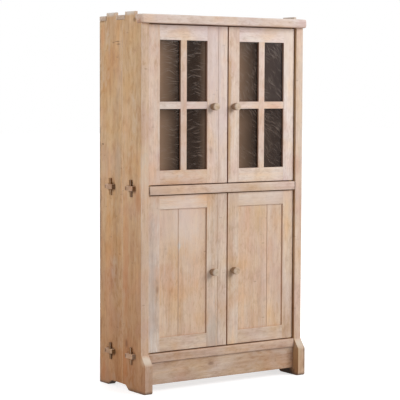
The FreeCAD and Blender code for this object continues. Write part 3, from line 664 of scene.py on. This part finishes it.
# Hidden carcass: lapped back boards, loose inner shelves on cleats and the door stops, all of
# raw wood that never had the wash and has darkened with age.

RAW_PALE = linear(176, 142, 110)
RAW_DEEP = linear(128, 96, 70)
RAW_WASH = 0.1
RAW_WEAR = 0.001
SEAM_DARK = linear(66, 46, 32)
SEAM_REACH = (0.005, 0.05, 4.0)
SEAM_STRENGTH = 0.9
HIDDEN_SEED = 51
CROSSWISE = 1
hidden = {"back_board_1": UPRIGHT, "back_board_2": UPRIGHT, "back_board_3": UPRIGHT,
          "upper_inner_shelf": LENGTHWISE, "lower_inner_shelf": LENGTHWISE, "shelf_cleats": CROSSWISE,
          "upper_door_stop": LENGTHWISE, "lower_door_stop": LENGTHWISE}
for number, (board, along) in enumerate(hidden.items()):
    seams = [(tuple(corner), SEAM_REACH, SEAM_DARK, SEAM_STRENGTH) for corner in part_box(board)
             if board.startswith("back")]
    worn_edges(board, RAW_WEAR, segments=2)
    dress(board, limewashed(board, along, RAW_PALE, RAW_DEEP, HIDDEN_SEED + number, wash=RAW_WASH,
                            marks=seams))


# Door frames: stiles run the full height with the rails tenoned between them, and the left doors
# carry a wide meeting strip. The upper doors are the palest wood, chalky and pinkish; the lower ones
# are browner. The edges in the gaps and the reveals of the openings carry dark brown painted shade.

FRAME_PALE = {"upper_left": linear(236, 215, 201), "upper_right": linear(243, 226, 213),
              "lower_left": linear(230, 209, 189), "lower_right": linear(231, 210, 189)}
FRAME_DEEP = {"upper_left": linear(208, 179, 159), "upper_right": linear(218, 194, 176),
              "lower_left": linear(202, 174, 150), "lower_right": linear(203, 174, 149)}
# Painted shade for the edges in the gaps and on the reveals, by level.
GAP_SHADE = {"upper": linear(146, 84, 40), "lower": linear(180, 122, 74)}
LIP = 0.012
RABBET = 0.008
HINGE_ROUND = 0.0125
HINGE_NOSE = 0.006
ARRIS_BEND = 0.0018
INNER_BEND = 0.0004
RAIL_SET_BACK = 0.0006
RAIL_UNDER = 0.004
SHOULDER = 0.0003
FRAME_WEAR = 0.0004
RAIL_WEAR = 0.0002
# How dark the wood is at the opening's edge, where painted shade lies on the reveal, in the rabbet and
# on the raw back.
LIP_SHADE = 0.8
RABBET_RAW = 0.6
BACK_RAW = 0.3


def anticlockwise(steps, bends, raw_and_shade, swapped):
    """An outline made to go round anticlockwise, its bends and sides kept with their corners.

    A bar that lies flat is seen from its end, so the two axes of its steps are swapped.
    """
    corners = [(b, a) for a, b in steps] if swapped else steps
    x, y = np.asarray(corners, float).T
    if (x * np.roll(y, -1) - y * np.roll(x, -1)).sum() > 0:
        return corners, bends, raw_and_shade
    return corners[::-1], bends[::-1], list(np.roll(raw_and_shade[::-1], -1))


def frame_outline(gap, opening, face, back, glazed, nose, heel, swapped):
    """A stile's or rail's outline, from the gap to the opening and from face to back.

    The gap edge is bent round by nose in front and by heel behind. A glazed member has a rabbet behind
    its lip.
    """
    inward = math.copysign(RABBET, gap - opening)
    if glazed:
        steps = [(gap, face), (opening, face), (opening, face + LIP), (opening + inward, face + LIP),
                 (opening + inward, back), (gap, back)]
        bends = [nose, ARRIS_BEND, INNER_BEND, INNER_BEND, INNER_BEND, heel]
        raw_and_shade = [0.0, LIP_SHADE, RABBET_RAW, RABBET_RAW, BACK_RAW, 1.0]
    else:
        steps = [(gap, face), (opening, face), (opening, back), (gap, back)]
        bends = [nose, ARRIS_BEND, ARRIS_BEND, heel]
        raw_and_shade = [0.0, LIP_SHADE, BACK_RAW, 1.0]
    return anticlockwise(steps, bends, raw_and_shade, swapped)


WEATHERED = linear(184, 178, 174)
LILAC = linear(226, 212, 214)
TANNED = linear(192, 152, 110)
LIMED = linear(234, 219, 211)
FRAME_WASH = 0.5
FRAME_KNOTS = 0.45
CHALKED = {"lower_left_hinge_stile": 0.9, "lower_left_meeting_stile": 0.7}
# The tone of a board that differs from its door, and how far it goes towards it.
BOARD_TONES = {
    "upper_left_hinge_stile": (TANNED, 0.12), "upper_left_upright_bar": (TANNED, 0.08),
    "upper_left_head_rail": (LIMED, 0.7), "upper_left_cross_bars": (LIMED, 0.65),
    "upper_left_foot_rail": (TANNED, 0.12), "upper_meeting_strip": (LILAC, 0.25),
    "upper_right_head_rail": (LIMED, 1.0), "upper_right_foot_rail": (WEATHERED, 0.12),
    "upper_right_hinge_stile": (LIMED, 0.75), "upper_right_meeting_stile": (TANNED, 0.2),
    "lower_left_meeting_stile": (TANNED, 0.25), "lower_right_hinge_stile": (TANNED, 0.12),
}
# Stains on each door: place, reach, colour and strength.
DOOR_MARKS = {
    "upper_left": (
        ((-0.085, -0.168, 1.7), (0.1, 0.05, 0.36), LILAC, 0.45),
        ((-0.02, -0.168, 1.3), (0.05, 0.03, 0.2), LILAC, 0.3),
        ((-0.242, -0.168, 1.3), (0.03, 0.02, 0.07), TANNED, 0.4),
    ),
    "upper_right": (
        ((0.036, -0.168, 1.52), (0.018, 0.02, 0.24), TANNED, 0.8),
        ((0.036, -0.168, 1.22), (0.016, 0.02, 0.2), TANNED, 0.8),
        ((0.4, -0.168, 1.68), (0.1, 0.05, 0.3), LIMED, 0.4),
    ),
    "lower_left": (
        ((-0.43, -0.168, 0.48), (0.035, 0.03, 0.42), WEATHERED, 0.4),
        ((-0.065, -0.168, 0.28), (0.05, 0.03, 0.16), WEATHERED, 0.45),
        ((-0.31, -0.161, 0.88), (0.1, 0.05, 0.24), LIMED, 0.25),
        ((-0.2, -0.161, 0.88), (0.12, 0.05, 0.26), LIMED, 0.4),
        ((-0.264, -0.161, 0.723), (0.012, 0.03, 0.026), BLEACHED, 0.8),
    ),
    "lower_right": (
        ((0.235, -0.161, 0.85), (0.07, 0.02, 0.12), STRAW, 0.25),
        ((0.32, -0.161, 0.7), (0.1, 0.05, 0.45), LILAC, 0.15),
        ((0.31, -0.161, 0.66), (0.03, 0.02, 0.11), RUST, 0.2),
        ((0.25, -0.168, 0.96), (0.26, 0.05, 0.07), LIMED, 0.35),
        ((0.035, -0.168, 0.6), (0.05, 0.05, 0.5), TANNED, 0.25),
    ),
}


def door_board(node, surface, along, leaf, seed):
    """Fits a board of a door, its two colours moved towards a tone of its own if it has one."""
    pale = np.array(FRAME_PALE[leaf])
    deep = np.array(FRAME_DEEP[leaf])
    if node in BOARD_TONES:
        tone, strength = BOARD_TONES[node]
        lift = strength * (np.array(tone) - (pale + deep) / 2)
        pale = pale + lift
        deep = deep + lift
    grain = limewashed(node, along, tuple(pale.tolist()), tuple(deep.tolist()), seed,
                       wash=CHALKED.get(node, FRAME_WASH), knots=FRAME_KNOTS,
                       edge=GAP_SHADE[leaf.split("_")[0]], marks=DOOR_MARKS[leaf])
    fitted(f"{node}_board", surface, grain, f"{leaf}_door", "front_wood", node)


# Seeds of each door's boards; the second of a pair is counted on from the first.
STILE_SEED = {"upper_left": 237, "upper_right": 208, "lower_left": 147, "lower_right": 118}
RAIL_SEED = {"upper_left": 354, "upper_right": 366, "lower_left": 264, "lower_right": 276}
SECOND_BOARD = 2
SECOND_RAIL = 40
STRIP_SEED = {"upper": 331, "lower": 332}
STRIP_WEAR_SEED = 335
STRIP_BENDS = (0.0008, 0.002, 0.002, 0.0008)
# How dark the strip's face, right edge, back and left edge are: painted shade on the edges in the gaps,
# raw wood on the back.
STRIP_SHADE_AND_RAW = (0, 1, BACK_RAW, 0.6)
for level in ("upper", "lower"):
    glazed = level == "upper"
    for side in ("left", "right"):
        leaf = f"{level}_{side}"
        opening = {}
        for edge in ("hinge", "meeting"):
            node = f"{leaf}_{edge}_stile"
            low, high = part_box(node)
            opens_right = (edge == "hinge") == (side == "left")
            opening[edge], gap = (high.x, low.x) if opens_right else (low.x, high.x)
            nose, heel = (HINGE_NOSE, HINGE_ROUND) if edge == "hinge" else (ARRIS_BEND, ARRIS_BEND)
            outline = frame_outline(gap, opening[edge], low.y, high.y, glazed, nose, heel, False)
            seed = STILE_SEED[leaf] + (SECOND_BOARD if edge == "meeting" else 0)
            stile = worn_bar(UPRIGHT, low.z, high.z, *outline, seed, FRAME_WEAR)
            door_board(node, stile, UPRIGHT, leaf, seed)
        span = sorted(opening.values())
        under = RABBET if glazed else RAIL_UNDER
        for end in ("foot", "head"):
            node = f"{leaf}_{end}_rail"
            low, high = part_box(node)
            gap, inner = (low.z, high.z) if end == "foot" else (high.z, low.z)
            face, back = low.y + RAIL_SET_BACK, high.y - RAIL_SET_BACK
            outline = frame_outline(gap, inner, face, back, glazed, ARRIS_BEND, ARRIS_BEND, True)
            seed = RAIL_SEED[leaf] + (SECOND_RAIL if end == "foot" else 0)
            rail = worn_bar(LENGTHWISE, span[0] - under, span[1] + under, *outline, seed, RAIL_WEAR,
                            SHOULDER)
            door_board(node, rail, LENGTHWISE, leaf, seed)
    node = f"{level}_meeting_strip"
    low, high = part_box(node)
    strip = worn_bar(UPRIGHT, low.z, high.z, four_corners(low, high, UPRIGHT), STRIP_BENDS, STRIP_SHADE_AND_RAW,
                     STRIP_WEAR_SEED, FRAME_WEAR)
    door_board(node, strip, UPRIGHT, f"{level}_left", STRIP_SEED[level])


# Panel boards of the lower doors: two wide boards that meet in a V joint, held loose in the grooves
# of the frame and a little yellower than it.

PANEL_PALE = linear(232, 205, 178)
PANEL_DEEP = linear(206, 172, 142)
SEAM_EDGE = linear(186, 136, 94)
SEAM_BEND = 0.004
PANEL_BEND = 0.0006
PANEL_WEAR = 0.0003
PANEL_SEED = {"left": 398, "right": 379}
for side in ("left", "right"):
    for bay in ("hinge", "meeting"):
        node = f"lower_{side}_{bay}_panel_board"
        low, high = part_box(node)
        seam_right = (bay == "hinge") == (side == "left")
        bends = [PANEL_BEND] * 4
        bends[1 if seam_right else 0] = SEAM_BEND
        raw_and_shade = (0, 1, BACK_RAW, 0) if seam_right else (0, 0, BACK_RAW, 1)
        seed = PANEL_SEED[side] + (SECOND_BOARD if bay == "meeting" else 0)
        bar = worn_bar(UPRIGHT, low.z, high.z, four_corners(low, high, UPRIGHT), bends, raw_and_shade, seed,
                       PANEL_WEAR)
        grain = limewashed(node, UPRIGHT, PANEL_PALE, PANEL_DEEP, seed, wash=0.35, edge=SEAM_EDGE,
                           figure=0.75, marks=DOOR_MARKS[f"lower_{side}"])
        fitted(f"{node}_plank", bar, grain, f"lower_{side}_door", "front_wood", node)


# Glazing of the upper doors: an upright bar and two cross bars, rabbeted behind like the frame, hold
# four panes of old rolled glass, scored with fine pale lines, their dark colour the painted shade of the
# inside, with a painted brown reflection and grey sheen; beads close them behind.

BAR_SET_BACK = 0.001
CROSS_SET_BACK = 0.0014
BAR_SEED = 385
BAR_GRAIN_SEED = 387
CROSS_SEED = 391
CROSS_GRAIN_SEED = 397
PANE_SEED = 401
GLASS_SEED = 415
BEAD_SEED = 425
PANE_PLAY = 0.007
PANE_STEPS = (13, 25)
PANE_HOLLOW = 0.0004
PANE_WAVES = (0.11, 0.07, 0.045)
# The dark base is the painted shade of the inside seen through the glass; the brown and grey are painted
# reflections.
GLASS_INSIDE_SHADE = linear(26, 12, 6)
GLASS_REFLECTION = linear(160, 129, 105)
GLASS_SHEEN = linear(104, 94, 93)
SCORE_PALE = linear(152, 134, 122)
SCORE_STRENGTH = 0.38
SCORE_SQUEEZE = (13, 1, 290)
# The slants of each door's scores, where their crests are cut, and each pane's painted reflection and
# painted sheen.
SCORES = {"left": (0.03, 0.25, -0.2), "right": (-0.8, -0.5, -1.1)}
SCORE_CREST = {"left": 0.63, "right": 0.61}
PANE_REFLECTIONS = {"left": ((1.0, 0.0), (0.1, 0.8)), "right": ((0.78, 0.0), (0.15, 0.0))}
PANE_SHEENS = {"left": ((0.0, 0.0), (0.0, 0.0)), "right": ((0.0, 0.03), (0.1, 0.28))}


def bar_outline(low, high, face, back, swapped):
    """A glazing bar's outline: a broad lip in front and a narrower core behind it."""
    steps = [(low, face), (high, face), (high, face + LIP), (high - RABBET, face + LIP),
             (high - RABBET, back), (low + RABBET, back), (low + RABBET, face + LIP), (low, face + LIP)]
    bends = [ARRIS_BEND] * 2 + [INNER_BEND] * 6
    half = [LIP_SHADE, RABBET_RAW, RABBET_RAW]
    raw_and_shade = [0.0] + half + [BACK_RAW] + half[::-1]
    return anticlockwise(steps, bends, raw_and_shade, swapped)


def rolled_pane(low, high, seed, reflection, far_reflection, sheen):
    """One pane: a grid over its width and height for each face, hollowed in crossing waves.

    Its reflection is a painted mark that fades from the left edge, comes back in a narrow strip at the
    right edge, reflection * (1 - share)^1.3 + far_reflection * share^5, and thins over the top quarter.
    Its sheen, a painted grey reflection, is even.
    """
    draw = np.random.default_rng(seed)
    wide = np.linspace(low[0], high[0], PANE_STEPS[0])
    tall = np.linspace(low[2], high[2], PANE_STEPS[1])
    x, z = np.meshgrid(wide, tall, indexing="ij")
    wave = np.zeros_like(x)
    for pitch in PANE_WAVES:
        slant = draw.uniform(0, np.pi)
        wave += np.sin(2 * np.pi * (x * np.cos(slant) + z * np.sin(slant)) / pitch + draw.uniform(0, 6))
    hollow = PANE_HOLLOW * (0.5 + wave / (2 * len(PANE_WAVES)))
    front = np.stack([x, low[1] + hollow, z], axis=-1)
    rear = np.stack([x, high[1] - hollow, z], axis=-1)
    index = np.arange(x.size).reshape(x.shape)
    quads = np.stack([index[:-1, :-1], index[1:, :-1], index[1:, 1:], index[:-1, 1:]], axis=-1)
    quads = quads.reshape(-1, 4)
    rim = np.concatenate([index[:-1, 0], index[-1, :-1], index[:0:-1, -1], index[0, :0:-1]])
    after = np.roll(rim, -1)
    walls = np.stack([after, rim, rim + x.size, after + x.size], axis=-1)
    faces = np.concatenate([quads, quads[:, ::-1] + x.size, walls]).tolist()
    share = np.clip((x - low[0]) / (high[0] - low[0]), 0, 1)
    below_top = (high[2] - z) / (high[2] - low[2])
    fade = reflection * (1 - share) ** 1.3 + far_reflection * share ** 5
    fade = fade * (0.5 + 0.5 * np.minimum(4 * below_top, 1))
    marks = {"reflection": np.tile(fade.ravel(), 2), "sheen": np.full(2 * x.size, sheen)}
    return np.concatenate([front.reshape(-1, 3), rear.reshape(-1, 3)]), faces, marks


def glass_with_painted_light(name, seed, slants, crest):
    """Old rolled glass: a dark base, the painted shade of the inside, a painted brown reflection that
    thins to one side, a painted grey sheen, and fine pale scores in bent strokes.

    Each family of scores is a noise squeezed along a slant, its ground bent by a slow noise, cut to its
    crests.
    """
    glass = Finish(bpy.data.materials.new(name))
    draw = np.random.default_rng(seed)
    shift = tuple(draw.uniform(-5, 5, 3).tolist())
    cloud = glass.noise(glass.place(shift, (1, 1, 0.4)), 9, 2, 0.5, 0.4).rise(0.2, 0.8)
    slow = {"Vector": glass.place(shift), "Scale": 9.0, "Detail": 1.0}
    bend = glass.add("ShaderNodeTexNoise", None, slow, 1)
    centre = glass.vector("SUBTRACT", bend, (0.5, 0.5, 0.5))
    where = glass.vector("ADD", glass.place(), glass.vector("MULTIPLY", centre, (0.07, 0.07, 0.07)))
    lines = 0.0
    for slant in slants:
        start = tuple(draw.uniform(-5, 5, 3).tolist())
        turned = glass.add("ShaderNodeMapping", None,
                           {"Vector": where, "Rotation": (0, slant, 0), "Location": start})
        run = glass.vector("MULTIPLY", turned, SCORE_SQUEEZE)
        lines = lines + glass.noise(run, 1, 1, 0.5).rise(crest, crest + 0.11)
    lines = (lines * glass.noise(glass.place(shift), 14, 2).rise(0.36, 0.54)).held()
    # Painted brown reflection over the dark base.
    reflection = (glass.mark("reflection") * (0.75 + cloud * 0.25) + cloud * 0.05).held()
    colour = glass.mix(reflection, GLASS_INSIDE_SHADE, GLASS_REFLECTION)
    # Painted grey sheen of a reflection.
    colour = glass.mix(glass.mark("sheen"), colour, GLASS_SHEEN)
    colour = glass.mix(lines * SCORE_STRENGTH, colour, SCORE_PALE)
    ripple = glass.noise(glass.place(shift, (1, 1, 0.6)), 60, 2, 0.5, 0.8) + lines * 0.4
    normal = glass.add("ShaderNodeBump", None, {"Strength": 0.2, "Distance": 0.002, "Height": ripple})
    return glass.give(Base_Color=colour, Roughness=(0.1 + lines * 0.2).held(), Normal=normal, Alpha=0.9,
                      Specular_IOR_Level=0.12)


for number, side in enumerate(("left", "right")):
    leaf = f"upper_{side}"
    stiles = [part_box(f"{leaf}_{edge}_stile") for edge in ("hinge", "meeting")]
    stiles.sort(key=lambda box: box[0].x)
    open_x = (stiles[0][1].x, stiles[1][0].x)
    open_z = (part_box(f"{leaf}_foot_rail")[1].z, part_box(f"{leaf}_head_rail")[0].z)
    node = f"{leaf}_upright_bar"
    low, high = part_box(node)
    bar_x = (low.x, high.x)
    outline = bar_outline(*bar_x, low.y + BAR_SET_BACK, high.y - BAR_SET_BACK, False)
    bar = worn_bar(UPRIGHT, open_z[0] - RABBET, open_z[1] + RABBET, *outline, BAR_SEED + number,
                   RAIL_WEAR, SHOULDER)
    door_board(node, bar, UPRIGHT, leaf, BAR_GRAIN_SEED + number)
    node = f"{leaf}_cross_bars"
    low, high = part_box(node)
    bar_z = (low.z, high.z)
    outline = bar_outline(*bar_z, low.y + CROSS_SET_BACK, high.y - CROSS_SET_BACK, True)
    halves = []
    for start, stop in ((open_x[0], bar_x[0]), (bar_x[1], open_x[1])):
        half = worn_bar(LENGTHWISE, start - RABBET, stop + RABBET, *outline, CROSS_SEED + len(halves),
                        RAIL_WEAR, SHOULDER)
        halves.append(half)
    door_board(node, joined(halves), LENGTHWISE, leaf, CROSS_GRAIN_SEED + number)
    node = f"{leaf}_glass_panes"
    low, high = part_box(node)
    panes = []
    columns = ((low.x, bar_x[0] + PANE_PLAY), (bar_x[1] - PANE_PLAY, high.x))
    rows = ((low.z, bar_z[0] + PANE_PLAY), (bar_z[1] - PANE_PLAY, high.z))
    for wide, reflections, sheens in zip(columns, PANE_REFLECTIONS[side], PANE_SHEENS[side]):
        for tall, sheen in zip(rows, sheens):
            panes.append(rolled_pane((wide[0], low.y, tall[0]), (wide[1], high.y, tall[1]),
                                     PANE_SEED + len(panes), *reflections, sheen))
    glass = glass_with_painted_light(f"{leaf}_glass", GLASS_SEED + number, SCORES[side], SCORE_CREST[side])
    fitted(f"{leaf}_rolled_panes", joined(panes), glass, f"{leaf}_door", "pane_glass", node)
    node = f"{leaf}_glazing_beads"
    dress(node, limewashed(node, UPRIGHT, RAW_PALE, RAW_DEEP, BEAD_SEED + number, wash=RAW_WASH))


# Knobs: plain drums turned from the same wood, with a broad, nearly flat face. The side of the drum
# is painted dark as shade, and the rim is pale, worn and with a painted highlight. Each sits on a spigot
# in the meeting stile.

KNOB_PALE = linear(208, 189, 168)
KNOB_DEEP = linear(168, 140, 112)
KNOB_SIDE_SHADE = linear(134, 100, 70)
KNOB_REACH = 0.039
KNOB_PROFILE = ((0.016, -0.002), (0.0165, 0.002), (0.0168, 0.004), (0.0176, 0.008), (0.0186, 0.013),
                (0.0189, 0.019), (0.0189, 0.026), (0.019, 0.031), (0.019, 0.0348), (0.0186, 0.0368),
                (0.0176, 0.0381), (0.016, 0.0386), (0.008, 0.0389), (0.0, 0.039))
KNOB_SIDES = 48
KNOB_WOBBLE = 0.02
KNOB_SEED = 431
KNOB_GRAIN_SEED = 433
# How far out the painted shade on the side ends and fades, and the worn rim with its painted highlight
# stands and spreads.
SIDE_SHADE_END = 0.0375
SIDE_SHADE_FADE = 0.01
SIDE_SHADE_STRENGTH = 0.75
RIM_REACH = 0.0355
RIM_SPREAD = 0.003


def turned_knob(centre, face, seed):
    """A knob: the profile (radius, reach) swung once round its axis, its radius a little out of true."""
    draw = np.random.default_rng(seed)
    radius, reach = np.array(KNOB_PROFILE).T
    angle = np.linspace(0, 2 * np.pi, KNOB_SIDES, endpoint=False)[None, :]
    oval = 0.6 * np.sin(2 * angle + draw.uniform(0, 6))
    lobes = 0.4 * np.sin(5 * angle + draw.uniform(0, 6))
    across = radius[:, None] * (1 - KNOB_WOBBLE * (1 + oval + lobes))
    place = np.stack([centre[0] + across * np.cos(angle), face - reach[:, None] + 0 * angle,
                      centre[1] + across * np.sin(angle)], axis=-1)
    rings = place[:-1].reshape(-1, 3)
    tip = len(rings)
    index = np.arange(tip).reshape(-1, KNOB_SIDES)
    last = index[-1].tolist()
    cap = [[a, b, tip] for a, b in zip(last, last[1:] + last[:1])]
    faces = between_rings(index) + [index[0, ::-1].tolist()] + cap
    # Painted shade along the side of the drum, fading out before the rim.
    side_shade = SIDE_SHADE_STRENGTH * np.clip((SIDE_SHADE_END - reach[:-1]) / SIDE_SHADE_FADE, 0, 1)
    rim = np.exp(-((reach[:-1] - RIM_REACH) / RIM_SPREAD) ** 2)
    marks = {"raw_and_shade": np.append(np.repeat(side_shade, KNOB_SIDES), 0),
             "arris": np.append(np.repeat(rim, KNOB_SIDES), 0)}
    return np.concatenate([rings, place[-1:, 0]]), faces, marks


for number, leaf in enumerate(FRAME_PALE):
    node = f"{leaf}_knob"
    low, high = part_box(node)
    middle = (low + high) / 2
    knob = turned_knob((middle.x, middle.z), low.y + KNOB_REACH, KNOB_SEED + number % 2)
    grain = limewashed(node, CROSSWISE, KNOB_PALE, KNOB_DEEP, KNOB_GRAIN_SEED + number % 2, wash=0.3,
                       knots=0.3, edge=KNOB_SIDE_SHADE)
    fitted(f"{node}_turned", knob, grain, f"{leaf}_door", "front_wood", node)


# Pivot pins: brass rods with a thin collar at both ends of each hinge stile, dull with age. They
# run in bores in the rails of the carcass and turn with the door.

BRASS_DULL = linear(142, 110, 58)
BRASS_BRIGHT = linear(196, 160, 92)
brass = Finish(bpy.data.materials.new("pin_metal"))
tarnish = brass.noise(brass.place(), 180, 3, 0.6).rise(0.35, 0.7)
pin_metal = brass.give(Base_Color=brass.mix(tarnish, BRASS_DULL, BRASS_BRIGHT), Metallic=1.0,
                       Roughness=0.28 + tarnish * 0.25)
for leaf in FRAME_PALE:
    dress(f"{leaf}_pivot_pins", pin_metal)


# Studio: a plain white floor that keeps the shadow, a soft white surround, a broad lamp from the right
# front, another that lights the left side from a little behind the front, and a fainter one behind.

FLOOR_REACH = 40.0
FLOOR_PAPER = linear(205, 205, 206)
FLOOR_GLOW = 0.66
FAR_GLOW = 0.25
SURROUND = 0.36
# Place, aim, size and power of each lamp.
LAMPS = {
    "key_lamp": ((3.4, -4.6, 4.0), (0, 0, 1.25), 4.0, 290),
    "side_lamp": ((-5.0, 0.6, 2.6), (-0.5, 0, 1.1), 3.0, 120),
    "back_lamp": ((2.0, 5.5, 2.6), (0, 0.2, 1.0), 3.0, 150),
}
corners = [(x * FLOOR_REACH, y * FLOOR_REACH, 0) for x, y in ((-1, -1), (1, -1), (1, 1), (-1, 1))]
floor_mesh = bpy.data.meshes.new("studio_floor")
floor_mesh.from_pydata(corners, [], [(0, 1, 2, 3)])
floor = bpy.data.objects.new("studio_floor", floor_mesh)
bpy.context.collection.objects.link(floor)


def seen_rays(finish):
    """1 for what the eye, a reflection or a pane sees, 0 for light on its way round the room."""
    camera, glossy, passing = (finish.add("ShaderNodeLightPath", output=number) for number in (0, 3, 6))
    return (camera + glossy + passing).held()


paper = Finish(bpy.data.materials.new("studio_paper"))
paper.give(Base_Color=FLOOR_PAPER, Roughness=0.9, Specular_IOR_Level=0.0)
strength = FLOOR_GLOW + paper.distance(paper.place()).rise(0.9, 2.6) * FAR_GLOW
glow = paper.add("ShaderNodeEmission", None, {"Strength": seen_rays(paper) * strength})
both = paper.tree.nodes.new("ShaderNodeAddShader")
paper.tree.links.new(paper.surface.outputs[0], both.inputs[0])
paper.tree.links.new(glow.socket, both.inputs[1])
paper.tree.links.new(both.outputs[0], paper.tree.nodes["Material Output"].inputs["Surface"])
floor_mesh.materials.append(paper.owner)

bpy.context.scene.world = bpy.data.worlds.new("studio_surround")
surround = Finish(bpy.context.scene.world, "Background")
surround.give(Color=(1, 1, 1, 1), Strength=SURROUND + seen_rays(surround) * (1 - SURROUND))
for name, (place, aim, size, power) in LAMPS.items():
    lamp = bpy.data.lights.new(name, "AREA")
    lamp.size = size
    lamp.energy = power
    holder = bpy.data.objects.new(name, lamp)
    holder.location = place
    holder.rotation_euler = (Vector(aim) - Vector(place)).to_track_quat("-Z", "Y").to_euler()
    bpy.context.collection.objects.link(holder)


# Camera: stands to the left of the front at eye height and looks a little down, through a long lens,
# as the picture was taken.

EYE = (-4.4731, -6.4442, 1.4955)
YAW = math.radians(34.607)
PITCH = math.radians(4.096)
ROLL = math.radians(0.227)
FILM_WIDTH = 36
FOCAL_LENGTH = 136.49
forward = Vector((math.sin(YAW) * math.cos(PITCH), math.cos(YAW) * math.cos(PITCH), -math.sin(PITCH)))
level = Vector((math.cos(YAW), -math.sin(YAW), 0))
right = level * math.cos(ROLL) + level.cross(forward) * math.sin(ROLL)
lens = bpy.data.cameras.new("photo_camera")
lens.sensor_width = FILM_WIDTH
lens.lens = FOCAL_LENGTH
camera = bpy.data.objects.new("photo_camera", lens)
camera.matrix_world = Matrix((right, right.cross(forward), -forward)).transposed().to_4x4()
camera.location = EYE
bpy.context.collection.objects.link(camera)
bpy.context.scene.camera = camera
bpy.context.scene.view_settings.view_transform = "Standard"
